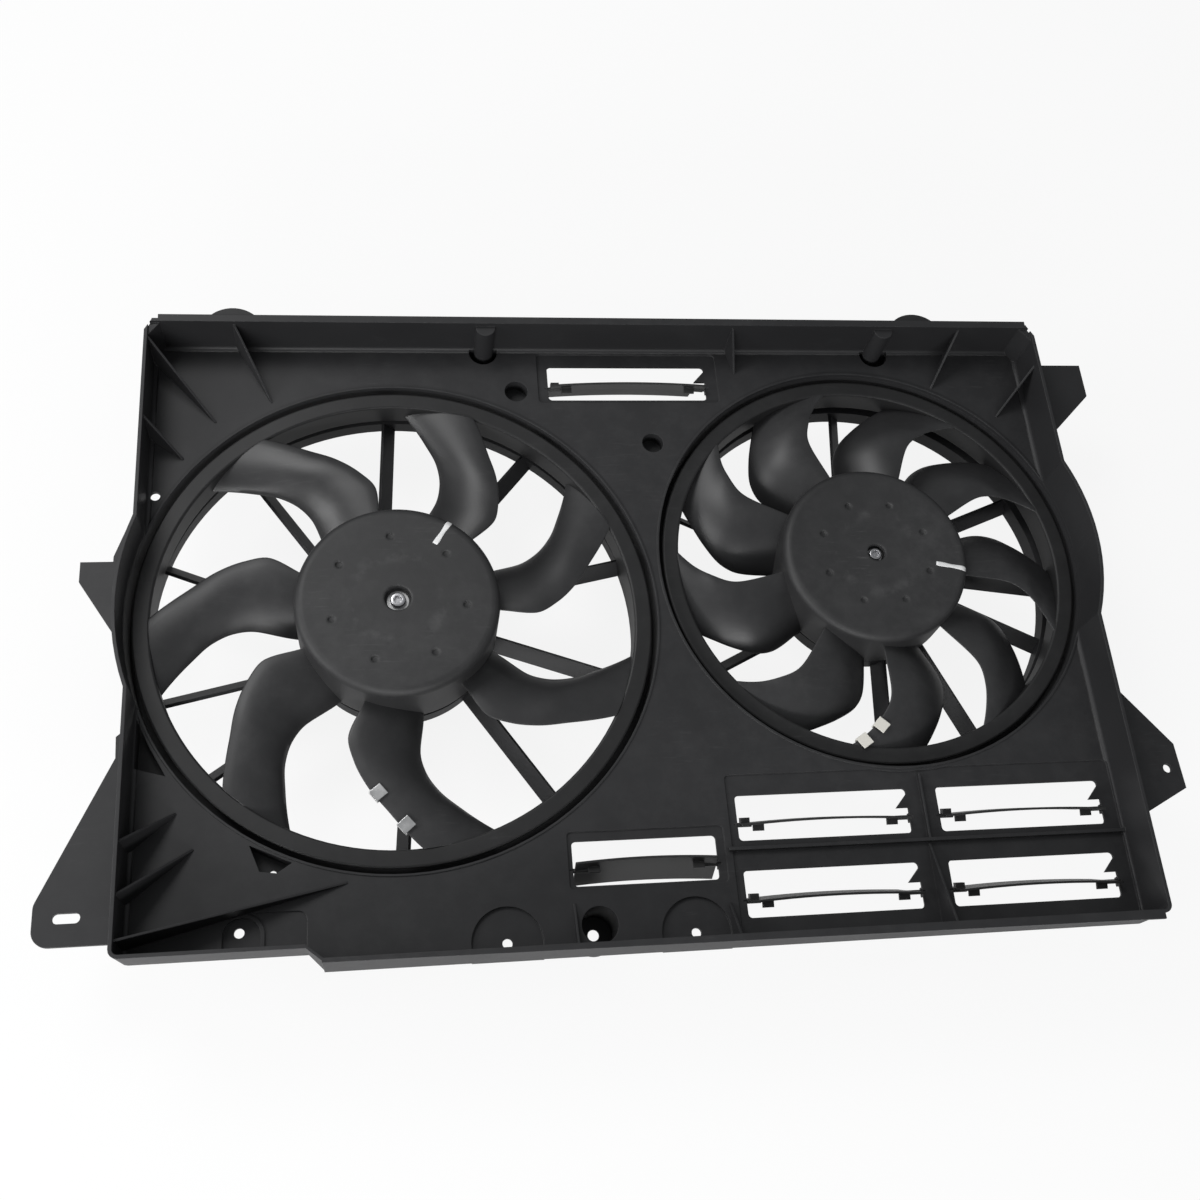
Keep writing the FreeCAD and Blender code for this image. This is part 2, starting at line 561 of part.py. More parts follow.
def deep_areas():
    # pads and pockets pressed deeper than the plate is thick: backing and hollow of each
    out = [(disc(x, PAD_Y, PAD_R + WALL, -PLATE - PAD_SUNK, 0), disc(x, PAD_Y, PAD_R, -PAD_SUNK, 1))
           for x in PAD_X]
    x1, y1 = TAB_X + TAB_W, BOTTOM + 37
    backing = rounded_slab(TAB_X - WALL, TAB_FOOT - 20, x1 + WALL, y1 + WALL, -PLATE - PAD_SUNK, 0,
                           TAB_R + WALL)
    hollow = rounded_slab(TAB_X, TAB_FOOT - 20, x1, y1, -PAD_SUNK, 1, TAB_R)
    out.append((backing.common(slab(-HALF, TAB_FOOT - 1, HALF, TOP, -TRAY_DEPTH, 1)),
                hollow.common(slab(-HALF, TAB_FOOT, HALF, TOP, -TRAY_DEPTH, 1))))
    wall_x = -HALF + WALL + 1
    for points in ([(-HALF + 80, BOTTOM + 85), (-HALF + 87, BOTTOM + 67), (-HALF + 98, BOTTOM + 65.5),
                    (-HALF + 108, BOTTOM + 72)],
                   [(wall_x, BOTTOM + 176), (wall_x, BOTTOM + 141), (-HALF + 24, BOTTOM + 135),
                    (-HALF + 12.5, BOTTOM + 156)]):
        out.append((grown_prism(points, WALL, -PLATE - POCKET_DEPTH, 0), prism(points, -POCKET_DEPTH, 1)))
    return out


def small_holes():
    spots = [(x, PAD_Y, PAD_HOLE_R) for x in PAD_X]
    spots += [(-HALF + 74.5, BOTTOM + 28, PAD_HOLE_R), (-HALF + 8, TOP - 131, 3.6),
              (-HALF + 94.5, BOTTOM + 68.5, 2.5)]
    return [disc(x, y, radius, -PLATE - POCKET_DEPTH - 1, 1) for x, y, radius in spots]


def shroud():
    outer, inner = tray()
    lands = [disc(x, y, radius + WALL, -PLATE, TRAY_DEPTH)
             for x, y, radius in ((LEFT_X, LEFT_Y, LEFT_DUCT_R), (RIGHT_X, RIGHT_Y, RIGHT_DUCT_R))]
    body = fuse([outer] + ears() + tabs() + tongues() + lips() + lands)
    body = body.cut(inner).cut(beyond_low_edge())
    keep = slab(-HALF + WALL, BOTTOM + WALL, HALF - WALL, TOP - WALL, -200, TRAY_DEPTH)
    inside = slab(-HALF, BOTTOM, HALF, TOP, -200, TRAY_DEPTH)
    for area in sunk_areas():
        body = body.cut(area.common(keep))
    beads = [tube(LEFT_X, LEFT_Y, LEFT_DUCT_R + BEAD, LEFT_DUCT_R, -0.5, BEAD_HEIGHT),
             tube(RIGHT_X, RIGHT_Y, RIGHT_DUCT_R + BEAD, RIGHT_DUCT_R, -0.5, BEAD_HEIGHT)]
    socket_shell, socket_bore, socket_hole = locator()
    pockets = [blind_pocket(x, y, radius, depth) for x, y, radius, depth in BLIND_POCKETS] + deep_areas()
    added = beads + [low_left_edge(), socket_shell] + ribs() + corner_fills()
    added += [boss.common(inside) for boss, _ in pockets]
    for name in WINDOWS:
        added += window_ears(name)
    body = fuse([body] + added)
    for hole in [hollow for _, hollow in pockets] + [socket_bore, socket_hole] + small_holes():
        body = body.cut(hole.common(keep))
    # columns that stand in the two pockets at the top wall
    body = fuse([body] + [disc(x, TOP - WALL - 1, KNOB_R, KNOB_FOOT_Z, KNOB_TOP_Z).common(inside)
                          for x in KNOB_X])
    for clip_off in corner_clips():
        body = body.cut(clip_off)
    for name in WINDOWS:
        body = body.cut(window_cut(name)).cut(pin_holes(name))
    for x, y, radius in ((LEFT_X, LEFT_Y, LEFT_DUCT_R), (RIGHT_X, RIGHT_Y, RIGHT_DUCT_R)):
        # the duct's own barrel fills everything behind the plate
        body = body.cut(disc(x, y, radius, LOW_DUCT_CUT_Z, TRAY_DEPTH + 1))
        body = body.cut(disc(x, y, radius + WALL, LOW_DUCT_CUT_Z, -PLATE))
    # one moulding, kept as two nodes: the plate with all behind it, and the walls and ribs in front
    front = slab(-2 * HALF, 2 * BOTTOM, 2 * HALF, 2 * TOP, 0, 2 * TRAY_DEPTH)
    for x, y, radius in ((LEFT_X, LEFT_Y, LEFT_DUCT_R), (RIGHT_X, RIGHT_Y, RIGHT_DUCT_R)):
        front = front.cut(tube(x, y, radius + BEAD, radius - BEAD, -1, BEAD_HEIGHT))
    return body.cut(front).removeSplitter(), body.common(front).removeSplitter()


def vanes(x, y, lip_r, back, angles):
    # angled vanes from the motor ring out to the duct's lip
    front = back + MOTOR_RING_DEPTH
    vane = slab(MOTOR_RING_R - 2, -VANE_WALL / 2, lip_r + 2, VANE_WALL / 2, -VANE_CHORD / 2, VANE_CHORD / 2)
    vane.rotate(vec(0, 0, 0), vec(1, 0, 0), -VANE_STAGGER)
    vane.rotate(vec((lip_r + MOTOR_RING_R) / 2, 0, 0), vec(0, 0, 1), -VANE_LEAN)
    vane.translate(vec(x, y, (front + back) / 2))
    span = tube(x, y, lip_r, MOTOR_RING_R, back, front)
    return Part.makeCompound([around(vane, x, y, angle).common(span) for angle in angles])


def motor_ring(x, y, back, can_r):
    # ring with a seat and three lugs, open for the motor
    front = back + MOTOR_RING_DEPTH
    frame = tube(x, y, MOTOR_RING_R, MOTOR_RING_R - MOTOR_RING_WALL, back, front)
    frame = frame.fuse(tube(x, y, MOTOR_RING_R, can_r + SEAT_GAP, back, back + SEAT_WALL))
    lugs = [polar(x, y, LUG_CIRCLE, LUG_FIRST + i * 360.0 / LUG_COUNT) for i in range(LUG_COUNT)]
    whole = disc(x, y, MOTOR_RING_R, back, front)
    for cx, cy in lugs:
        frame = frame.fuse(disc(cx, cy, LUG_R, back, front).common(whole))
    frame = frame.cut(disc(x, y, can_r + SEAT_GAP, back - 1, front + 1))
    for cx, cy in lugs:
        frame = frame.cut(disc(cx, cy, SCREW_R, back - 1, front + 1))
    return frame.removeSplitter()


def section_at(sections, share):
    # smooth values between the listed sections: middle, chord angle, lead z, trail z, camber
    last = len(sections) - 1
    i = max(k for k in range(last) if sections[k][0] <= share or k == 0)
    a, b = sections[i], sections[i + 1]
    before, after = sections[max(i - 1, 0)], sections[min(i + 2, last)]
    width = b[0] - a[0]
    t = (share - a[0]) / width
    values = []
    for k in range(1, 6):
        slope_a = (b[k] - before[k]) / (b[0] - before[0])
        slope_b = (after[k] - a[k]) / (after[0] - a[0])
        values.append((2 * t ** 3 - 3 * t ** 2 + 1) * a[k] + (t ** 3 - 2 * t ** 2 + t) * width * slope_a
                      + (3 * t ** 2 - 2 * t ** 3) * b[k] + (t ** 3 - t ** 2) * width * slope_b)
    return values


def blade(x, y, ring_r, sections):
    # swept blade through arc sections, each square to the radius it stands on
    wires = []
    for step in range(BLADE_SPANS + 1):
        share = step / BLADE_SPANS
        middle, chord_angle, lead_z, trail_z, camber = section_at(sections, share)
        radius = HUB_R - BLADE_ROOT + share * (ring_r + 2 - HUB_R + BLADE_ROOT)
        theta = math.radians(middle)
        er = vec(math.cos(theta), math.sin(theta), 0)
        et = vec(-math.sin(theta), math.cos(theta), 0)
        half = radius * math.radians(chord_angle) / 2
        run = math.hypot(2 * half, lead_z - trail_z)
        normal = ((lead_z - trail_z) / run, 2 * half / run)

        def at(t, offset):
            s = -half + t * 2 * half + normal[0] * offset
            z = lead_z + t * (trail_z - lead_z) + normal[1] * offset
            return vec(x, y, 0) + er * radius + et * s + vec(0, 0, z)

        ends = BLADE_THICKNESS / 3
        upper = Part.Arc(at(0, ends), at(0.5, camber + BLADE_THICKNESS / 2), at(1, ends))
        lower = Part.Arc(at(1, -ends), at(0.5, camber - BLADE_THICKNESS / 2), at(0, -ends))
        wires.append(Part.Wire([upper.toShape(), Part.makeLine(at(1, ends), at(1, -ends)),
                                lower.toShape(), Part.makeLine(at(0, -ends), at(0, ends))]))
    return Part.makeLoft(wires, True, True)


def blades(x, y, ring_r, sections, angles):
    one = blade(x, y, ring_r, sections).common(tube(x, y, ring_r, HUB_R, -60, 60))
    return Part.makeCompound([around(one, x, y, angle) for angle in angles])


def fan_ring(x, y, ring_r, flare_r, ring_z):
    # rotating ring with a rounded lip that runs over the duct's edge
    wall_r = ring_r + RING_WALL
    profile = [(ring_r, ring_z - RING_DEPTH), (wall_r, ring_z - RING_DEPTH), (wall_r, ring_z - FLARE_WALL),
               (flare_r, ring_z - FLARE_WALL), (flare_r, ring_z - 0.8), (flare_r - 1.2, ring_z),
               (ring_r + 1.5, ring_z), (ring_r + 0.4, ring_z - 0.5), (ring_r, ring_z - 1.6)]
    return turned(profile, x, y)


def hub(x, y, hub_z, back_z, first, dimples, dimple_circle, recess_r, insert_r):
    # cup with a stepped round edge, inner ribs and a boss for the metal insert
    edge = [(HUB_R - inset, hub_z - drop) for inset, drop in HUB_EDGE]
    boss_r = insert_r + HUB_BOSS_WALL
    profile = [(0, hub_z)] + edge + [(HUB_R, back_z), (HUB_R - HUB_WALL, back_z),
                                     (HUB_R - HUB_WALL, hub_z - 2 * HUB_WALL),
                                     (HUB_R - 2 * HUB_WALL, hub_z - HUB_WALL), (boss_r, hub_z - HUB_WALL),
                                     (boss_r, hub_z - HUB_BOSS_DEPTH), (0, hub_z - HUB_BOSS_DEPTH)]
    cup = turned(profile, x, y)
    rib = slab(x + boss_r - 1, y - HUB_RIB_WALL / 2, x + HUB_R - HUB_WALL + 1, y + HUB_RIB_WALL / 2,
               hub_z - HUB_RIB_DEPTH, hub_z - HUB_WALL + 1)
    whole = cup.multiFuse([around(rib, x, y, first + i * 360.0 / HUB_RIBS) for i in range(HUB_RIBS)])
    whole = whole.cut(disc(x, y, recess_r, hub_z - RECESS_DEPTH, hub_z + 1))
    whole = whole.cut(disc(x, y, insert_r, hub_z - HUB_BOSS_DEPTH - 1, hub_z - RECESS_DEPTH + 0.01))
    for i in range(dimples):
        cx, cy = polar(x, y, dimple_circle[0], dimple_circle[1] + i * 360.0 / dimples)
        whole = whole.cut(disc(cx, cy, DIMPLE_R, hub_z - DIMPLE_DEPTH, hub_z + 1))
    return whole.removeSplitter()


def lead_point(ring_r, sections, share):
    # a point of the leading edge, for a blade that starts at angle 0, and the blade's pitch there
    middle, chord_angle, lead_z, trail_z, camber = section_at(sections, share)
    radius = HUB_R - BLADE_ROOT + share * (ring_r + 2 - HUB_R + BLADE_ROOT)
    half = radius * math.radians(chord_angle) / 2
    theta = math.radians(middle)
    point = vec(radius * math.cos(theta) + half * math.sin(theta),
                radius * math.sin(theta) - half * math.cos(theta), lead_z)
    return point, math.degrees(math.atan2(lead_z - trail_z, 2 * half))


def clip(x, y, ring_r, sections, blade_angle, share):
    # spring clip pushed over the leading edge at one share of the blade's span
    point, pitch = lead_point(ring_r, sections, share)
    outward = lead_point(ring_r, sections, share + 0.03)[0] - lead_point(ring_r, sections, share - 0.03)[0]
    half_gap = CLIP_GAP / 2
    shell = slab(-CLIP_WIDTH / 2, -CLIP_NOSE - CLIP_WALL, CLIP_WIDTH / 2, CLIP_LENGTH,
                 -half_gap - CLIP_WALL, half_gap + CLIP_WALL)
    shell = shell.cut(slab(-CLIP_WIDTH, -CLIP_NOSE, CLIP_WIDTH, CLIP_LENGTH + 1, -half_gap, half_gap))
    shell.rotate(vec(0, 0, 0), vec(1, 0, 0), CLIP_TILT - pitch)
    shell.rotate(vec(0, 0, 0), vec(0, 0, 1), math.degrees(math.atan2(outward.y, outward.x)))
    shell.translate(point)
    shell.rotate(vec(0, 0, 0), vec(0, 0, 1), blade_angle)
    shell.translate(vec(x, y, 0))
    return shell


def seated(clips, carrier, ring):
    # each clip hollowed to the blade that it sits on and clear of the ring
    whole = [max(shell.cut(carrier).cut(ring).Solids, key=lambda solid: solid.Volume) for shell in clips]
    return Part.makeCompound(whole)


def fan(side, x, y, ring_r, flare_r, ring_z, hub_z, back_z, sections, angles, dimples, circle,
        clip_blade, clip_shares, recess_r, insert_r):
    pieces = {side + "_hub": hub(x, y, hub_z, back_z, angles[0], dimples, circle, recess_r, insert_r),
              side + "_blades": blades(x, y, ring_r, sections, angles),
              side + "_fan_ring": fan_ring(x, y, ring_r, flare_r, ring_z)}
    clips = [clip(x, y, ring_r, sections, angles[clip_blade], share) for share in clip_shares]
    beside = tube(x, y, flare_r, ring_r - CLIP_RING_GAP, ring_z - RING_DEPTH, ring_z)
    pieces[side + "_balance_clips"] = seated(clips, pieces[side + "_blades"], beside)
    return pieces


def rotating_parts(side, x, y, hub_z, back, core_back, core_front, armature_r, head_r, insert_r):
    # shaft, screw, insert, armature core, windings and commutator
    pieces = {}
    shaft_front = hub_z - RECESS_DEPTH - SHAFT_HOLE_GAP
    shaft = disc(x, y, SHAFT_R, back + CAN_WALL + 1, shaft_front)
    pieces["shaft"] = shaft.cut(disc(x, y, SCREW_R, shaft_front - HUB_SCREW_LENGTH - 1, shaft_front + 1))
    head_z = hub_z - RECESS_DEPTH + 0.01
    head = disc(x, y, head_r, head_z, head_z + HUB_SCREW_HEAD)
    pieces["hub_screw"] = head.fuse(disc(x, y, SCREW_R, shaft_front - HUB_SCREW_LENGTH, head_z + 1))
    insert = tube(x, y, insert_r, SHAFT_R, hub_z - HUB_BOSS_DEPTH, shaft_front)
    pieces["hub_insert"] = insert.fuse(tube(x, y, insert_r, SCREW_R, shaft_front, head_z))
    core = disc(x, y, armature_r, core_back, core_front)
    slot = slab(x + armature_r - SLOT_DEPTH, y - SLOT_WIDTH / 2, x + armature_r + 1, y + SLOT_WIDTH / 2,
                core_back - 1, core_front + 1)
    for i in range(ARMATURE_SLOTS):
        core = core.cut(around(slot, x, y, i * 360.0 / ARMATURE_SLOTS))
    pieces["armature_core"] = core.cut(disc(x, y, SHAFT_R, core_back - 1, core_front + 1))
    winding_r = armature_r - WINDING_INSET
    inner = SHAFT_R + 4
    cut = WINDING_CHAMFER
    coils = []
    for z0 in (core_back - WINDING_LENGTH, core_front):
        z1 = z0 + WINDING_LENGTH
        coils.append(turned([(inner, z0), (winding_r - cut, z0), (winding_r, z0 + cut), (winding_r, z1 - cut),
                             (winding_r - cut, z1), (inner, z1)], x, y))
    pieces["windings"] = Part.makeCompound(coils)
    comm_z = core_front + WINDING_LENGTH + 0.5
    pieces["commutator"] = tube(x, y, COMMUTATOR_R, SHAFT_R, comm_z, comm_z + COMMUTATOR_LENGTH)
    return {side + "_" + name: shape for name, shape in pieces.items()}


def motor_cover(x, y, can_r, seat_z, front, front_z):
    # flange with three lugs and a dome that reaches into the hub
    cover_r = can_r - COVER_STEP
    inner_r = cover_r - COVER_WALL
    cup_r = BEARING_R + BEARING_CUP
    profile = [(SHAFT_R + 2, front), (cover_r - COVER_ROUND, front), (cover_r, front - COVER_ROUND),
               (cover_r, seat_z + COVER_WALL), (can_r, seat_z + COVER_WALL), (can_r, seat_z),
               (inner_r, seat_z), (inner_r, front - COVER_ROUND - 0.8),
               (cover_r - COVER_ROUND - 0.8, front - COVER_WALL), (cup_r, front - COVER_WALL),
               (cup_r, front_z), (BEARING_R, front_z), (BEARING_R, front - COVER_WALL),
               (SHAFT_R + 2, front - COVER_WALL)]
    cover = turned(profile, x, y)
    for i in range(LUG_COUNT):
        angle = LUG_FIRST + i * 360.0 / LUG_COUNT
        cx, cy = polar(x, y, LUG_CIRCLE, angle)
        arm = slab(x + can_r - 3, y - LUG_R + 1, x + LUG_CIRCLE, y + LUG_R - 1, seat_z, seat_z + COVER_WALL)
        lug = around(arm, x, y, angle).fuse(disc(cx, cy, LUG_R - 1, seat_z, seat_z + COVER_WALL))
        cover = cover.fuse(lug).cut(disc(cx, cy, SCREW_R, seat_z - 1, seat_z + COVER_WALL + 1))
    return cover.removeSplitter()


def motor_can(x, y, can_r, back, seat_z):
    # drawn cup with a bearing cup in its closed end
    cup_r, cup_z = BEARING_R + BEARING_CUP, back + CAN_WALL + BEARING_LENGTH
    profile = [(0, back), (can_r - CAN_ROUND, back), (can_r, back + CAN_ROUND), (can_r, seat_z),
               (can_r - CAN_WALL, seat_z), (can_r - CAN_WALL, back + CAN_ROUND + 1),
               (can_r - CAN_ROUND - 1, back + CAN_WALL), (cup_r, back + CAN_WALL), (cup_r, cup_z),
               (BEARING_R, cup_z), (BEARING_R, back + CAN_WALL), (0, back + CAN_WALL)]
    return turned(profile, x, y)


def terminal_socket(x, y, can_r, back, seat_z):
    # socket on the can's wall, its mouth towards the module's bottom, with two flat terminals
    z0 = back + SOCKET_UP
    z1 = z0 + SOCKET_Z
    y1 = y - can_r + 2.0
    half = SOCKET_X / 2
    shell = slab(x - half, y1 - SOCKET_Y, x + half, y1, z0, z1)
    cavity = slab(x - half + SOCKET_WALL, y1 - SOCKET_Y - 1, x + half - SOCKET_WALL, y1 - SOCKET_FLOOR,
                  z0 + SOCKET_WALL, z1 - SOCKET_WALL)
    shell = shell.cut(cavity).cut(disc(x, y, can_r, back - 1, seat_z))
    middle = (z0 + z1) / 2
    pins = []
    for s in (-1, 1):
        px = x + s * TERMINAL_PITCH / 2
        pins.append(slab(px - TERMINAL_X / 2, y1 - SOCKET_Y + 3, px + TERMINAL_X / 2, y1 - SOCKET_FLOOR,
                         middle - TERMINAL_Z / 2, middle + TERMINAL_Z / 2))
    return shell, Part.makeCompound(pins)


def motor(side, x, y, lip_back, hub_z, can_r, head_r, insert_r):
    # every piece of one motor, from the shaft outwards
    armature_r = can_r - ARMATURE_INSET
    seat_z = lip_back + MOTOR_RING_DEPTH
    back = MOTOR_BACK_Z
    front = seat_z + COVER_LENGTH
    rear_z = back + CAN_WALL
    front_z = front - COVER_WALL - BEARING_LENGTH
    core_back = rear_z + BEARING_LENGTH + WINDING_LENGTH + 2.0
    core_front = seat_z - COIL_ROOM
    pieces = {}
    pieces["motor_can"] = motor_can(x, y, can_r, back, seat_z)
    pieces["motor_cover"] = motor_cover(x, y, can_r, seat_z, front, front_z)
    pieces["rear_bearing"] = tube(x, y, BEARING_R, SHAFT_R + SHAFT_RUN, rear_z, rear_z + BEARING_LENGTH)
    pieces["front_bearing"] = tube(x, y, BEARING_R, SHAFT_R + SHAFT_RUN, front_z, front_z + BEARING_LENGTH)
    # screws come in from behind the motor ring
    screws = []
    for i in range(LUG_COUNT):
        cx, cy = polar(x, y, LUG_CIRCLE, LUG_FIRST + i * 360.0 / LUG_COUNT)
        shank = disc(cx, cy, SCREW_R, lip_back, seat_z + COVER_WALL)
        screws.append(shank.fuse(disc(cx, cy, SCREW_HEAD_R, lip_back - SCREW_HEAD, lip_back)))
    pieces["motor_screws"] = Part.makeCompound(screws)
    # magnets: arcs bonded inside the can
    ring = tube(x, y, can_r - CAN_WALL, armature_r + AIR_GAP, core_back, core_front - 1)
    arcs = []
    for i in range(MAGNETS):
        wedge = Part.makeCylinder(can_r, core_front - core_back + 2, vec(x, y, core_back - 1),
                                  vec(0, 0, 1), MAGNET_ANGLE)
        arcs.append(ring.common(around(wedge, x, y, 45 + i * 360.0 / MAGNETS - MAGNET_ANGLE / 2)))
    pieces["magnets"] = Part.makeCompound(arcs)
    # brush card on the cover's wall, with the brushes on the commutator
    card_z = core_front + WINDING_LENGTH + 0.5 + COMMUTATOR_LENGTH / 2 - CARD_BACK
    pieces["brush_card"] = tube(x, y, can_r - COVER_STEP - COVER_WALL, COMMUTATOR_R + 4, card_z,
                                card_z + CARD_WALL)
    near = x + COMMUTATOR_R + BRUSH_GAP
    block = slab(near, y - BRUSH_WIDTH / 2, near + BRUSH_LENGTH, y + BRUSH_WIDTH / 2,
                 card_z + CARD_WALL, card_z + CARD_BACK + 1)
    pieces["brushes"] = Part.makeCompound([around(block, x, y, 45 + i * 360.0 / BRUSHES)
                                           for i in range(BRUSHES)])
    pieces["terminal_socket"], pieces["terminals"] = terminal_socket(x, y, can_r, back, seat_z)
    whole = {side + "_" + name: shape for name, shape in pieces.items()}
    whole.update(rotating_parts(side, x, y, hub_z, back, core_back, core_front, armature_r, head_r,
                                insert_r))
    return whole


def build():
    plate, walls = shroud()
    parts = {"shroud": plate, "shroud_walls": walls}
    parts["left_duct"] = duct(LEFT_X, LEFT_Y, LEFT_DUCT_R, LEFT_LIP_R, LEFT_LEDGE_Z, LEFT_LIP_BACK_Z)
    parts["right_duct"] = duct(RIGHT_X, RIGHT_Y, RIGHT_DUCT_R, RIGHT_LIP_R, RIGHT_LEDGE_Z, RIGHT_LIP_BACK_Z)
    parts["left_vanes"] = vanes(LEFT_X, LEFT_Y, LEFT_LIP_R, LEFT_LIP_BACK_Z, LEFT_VANE_ANGLES)
    parts["right_vanes"] = vanes(RIGHT_X, RIGHT_Y, RIGHT_LIP_R, RIGHT_LIP_BACK_Z, RIGHT_VANE_ANGLES)
    parts["left_motor_ring"] = motor_ring(LEFT_X, LEFT_Y, LEFT_LIP_BACK_Z, LEFT_CAN_R)
    parts["right_motor_ring"] = motor_ring(RIGHT_X, RIGHT_Y, RIGHT_LIP_BACK_Z, RIGHT_CAN_R)
    parts.update(fan("left", LEFT_X, LEFT_Y, LEFT_RING_R, LEFT_FLARE_R, LEFT_RING_Z, LEFT_HUB_Z,
                     LEFT_HUB_BACK_Z, LEFT_SECTIONS, LEFT_BLADE_ANGLES, LEFT_DIMPLES,
                     LEFT_DIMPLE_CIRCLE, LEFT_CLIP_BLADE, LEFT_CLIP_SHARES, LEFT_RECESS_R, LEFT_INSERT_R))
    parts.update(fan("right", RIGHT_X, RIGHT_Y, RIGHT_RING_R, RIGHT_FLARE_R, RIGHT_RING_Z, RIGHT_HUB_Z,
                     RIGHT_HUB_BACK_Z, RIGHT_SECTIONS, RIGHT_BLADE_ANGLES, RIGHT_DIMPLES,
                     RIGHT_DIMPLE_CIRCLE, RIGHT_CLIP_BLADE, RIGHT_CLIP_SHARES, RIGHT_RECESS_R,
                     RIGHT_INSERT_R))
    for name in WINDOWS:
        parts["flap_" + name] = flap(name, LOWER_FLAP_OPEN if name == "lower" else FLAP_OPEN)
    parts.update(motor("left", LEFT_X, LEFT_Y, LEFT_LIP_BACK_Z, LEFT_HUB_Z, LEFT_CAN_R, LEFT_HEAD_R,
                       LEFT_INSERT_R))
    parts.update(motor("right", RIGHT_X, RIGHT_Y, RIGHT_LIP_BACK_Z, RIGHT_HUB_Z, RIGHT_CAN_R, RIGHT_HEAD_R,
                       RIGHT_INSERT_R))
    origin = vec(0, (TOP + TONGUE_RISE + BOTTOM - BOTTOM_LIP) / 2, MOTOR_BACK_Z)
    os.makedirs("parts", exist_ok=True)
    for name, shape in parts.items():
        placed = shape.copy()
        placed.translate(origin * -1)
        placed.exportStep("parts/" + name + ".step")
        box = placed.BoundBox
        print("%-24s %-9s solids %d  x %7.1f %7.1f  y %7.1f %7.1f  z %6.1f %6.1f" % (
            name, "valid" if placed.isValid() else "INVALID", len(placed.Solids),
            box.XMin, box.XMax, box.YMin, box.YMax, box.ZMin, box.ZMax))


build()
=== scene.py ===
import json
import math

import bmesh
import bpy
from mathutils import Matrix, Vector


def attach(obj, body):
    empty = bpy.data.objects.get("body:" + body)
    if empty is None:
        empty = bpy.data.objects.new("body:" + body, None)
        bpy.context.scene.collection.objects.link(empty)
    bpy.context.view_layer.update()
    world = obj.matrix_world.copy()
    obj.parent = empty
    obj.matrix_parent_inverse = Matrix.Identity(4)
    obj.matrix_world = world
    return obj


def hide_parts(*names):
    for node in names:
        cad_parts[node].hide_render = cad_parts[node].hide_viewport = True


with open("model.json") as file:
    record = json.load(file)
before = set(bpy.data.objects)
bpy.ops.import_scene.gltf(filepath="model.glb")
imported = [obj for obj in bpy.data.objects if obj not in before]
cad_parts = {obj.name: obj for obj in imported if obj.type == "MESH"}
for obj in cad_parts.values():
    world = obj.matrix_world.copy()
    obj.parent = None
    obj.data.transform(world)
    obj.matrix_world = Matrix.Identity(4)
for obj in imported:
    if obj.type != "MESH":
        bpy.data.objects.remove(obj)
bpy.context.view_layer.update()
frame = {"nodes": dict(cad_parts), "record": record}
mm = 0.001
print("frame loaded:", len(frame["nodes"]), "nodes")


# Shared shader groups: they put out only colours, masks, heights and normals


def newGroup(name, inputs, outputs):
    group = bpy.data.node_groups.new(name, "ShaderNodeTree")
    for label, value in inputs.items():
        kind = "NodeSocketColor" if isinstance(value, tuple) else "NodeSocketFloat"
        socket = group.interface.new_socket(name=label, in_out="INPUT", socket_type=kind)
        socket.default_value = value
    for label, kind in outputs.items():
        group.interface.new_socket(name=label, in_out="OUTPUT", socket_type=kind)
    entry = group.nodes.new("NodeGroupInput")
    leave = group.nodes.new("NodeGroupOutput")
    return group, entry, leave


def addNode(tree, kind, **values):
    node = tree.nodes.new(kind)
    for label, value in values.items():
        setattr(node, label, value)
    return node


def joinMath(tree, operation, first, second):
    node = addNode(tree, "ShaderNodeMath", operation=operation)
    for index, value in enumerate((first, second)):
        if isinstance(value, (int, float)):
            node.inputs[index].default_value = value
        else:
            tree.links.new(value, node.inputs[index])
    return node.outputs[0]


def noiseOf(tree, coordinates, scale, detail=2.0, roughness=0.5, stretch=None):
    noise = addNode(tree, "ShaderNodeTexNoise")
    noise.inputs["Detail"].default_value = detail
    noise.inputs["Roughness"].default_value = roughness
    if isinstance(scale, (int, float)):
        noise.inputs["Scale"].default_value = scale
    else:
        tree.links.new(scale, noise.inputs["Scale"])
    if stretch:
        mapping = addNode(tree, "ShaderNodeMapping")
        mapping.inputs["Scale"].default_value = stretch
        mapping.inputs["Rotation"].default_value = (0, 0, 0.5)
        tree.links.new(coordinates, mapping.inputs["Vector"])
        coordinates = mapping.outputs["Vector"]
    tree.links.new(coordinates, noise.inputs["Vector"])
    return noise.outputs["Fac"]


def rangeOf(tree, value, low, high, toLow=0.0, toHigh=1.0):
    node = addNode(tree, "ShaderNodeMapRange", clamp=True)
    tree.links.new(value, node.inputs["Value"])
    for label, number in (("From Min", low), ("From Max", high), ("To Min", toLow), ("To Max", toHigh)):
        if isinstance(number, (int, float)):
            node.inputs[label].default_value = number
        else:
            tree.links.new(number, node.inputs[label])
    return node.outputs["Result"]


def buildGrainGroup():
    # moulded grain: fine pits with a slow change in how polished the tool was
    group, entry, leave = newGroup("mouldedGrain", {"Pit Scale": 1400.0, "Patch Scale": 9.0},
                                   {"Height": "NodeSocketFloat", "Patch": "NodeSocketFloat"})
    place = addNode(group, "ShaderNodeTexCoord").outputs["Object"]
    pits = noiseOf(group, place, entry.outputs["Pit Scale"], 3.0, 0.6)
    group.links.new(pits, leave.inputs["Height"])
    group.links.new(noiseOf(group, place, entry.outputs["Patch Scale"], 3.0, 0.55), leave.inputs["Patch"])
    return group


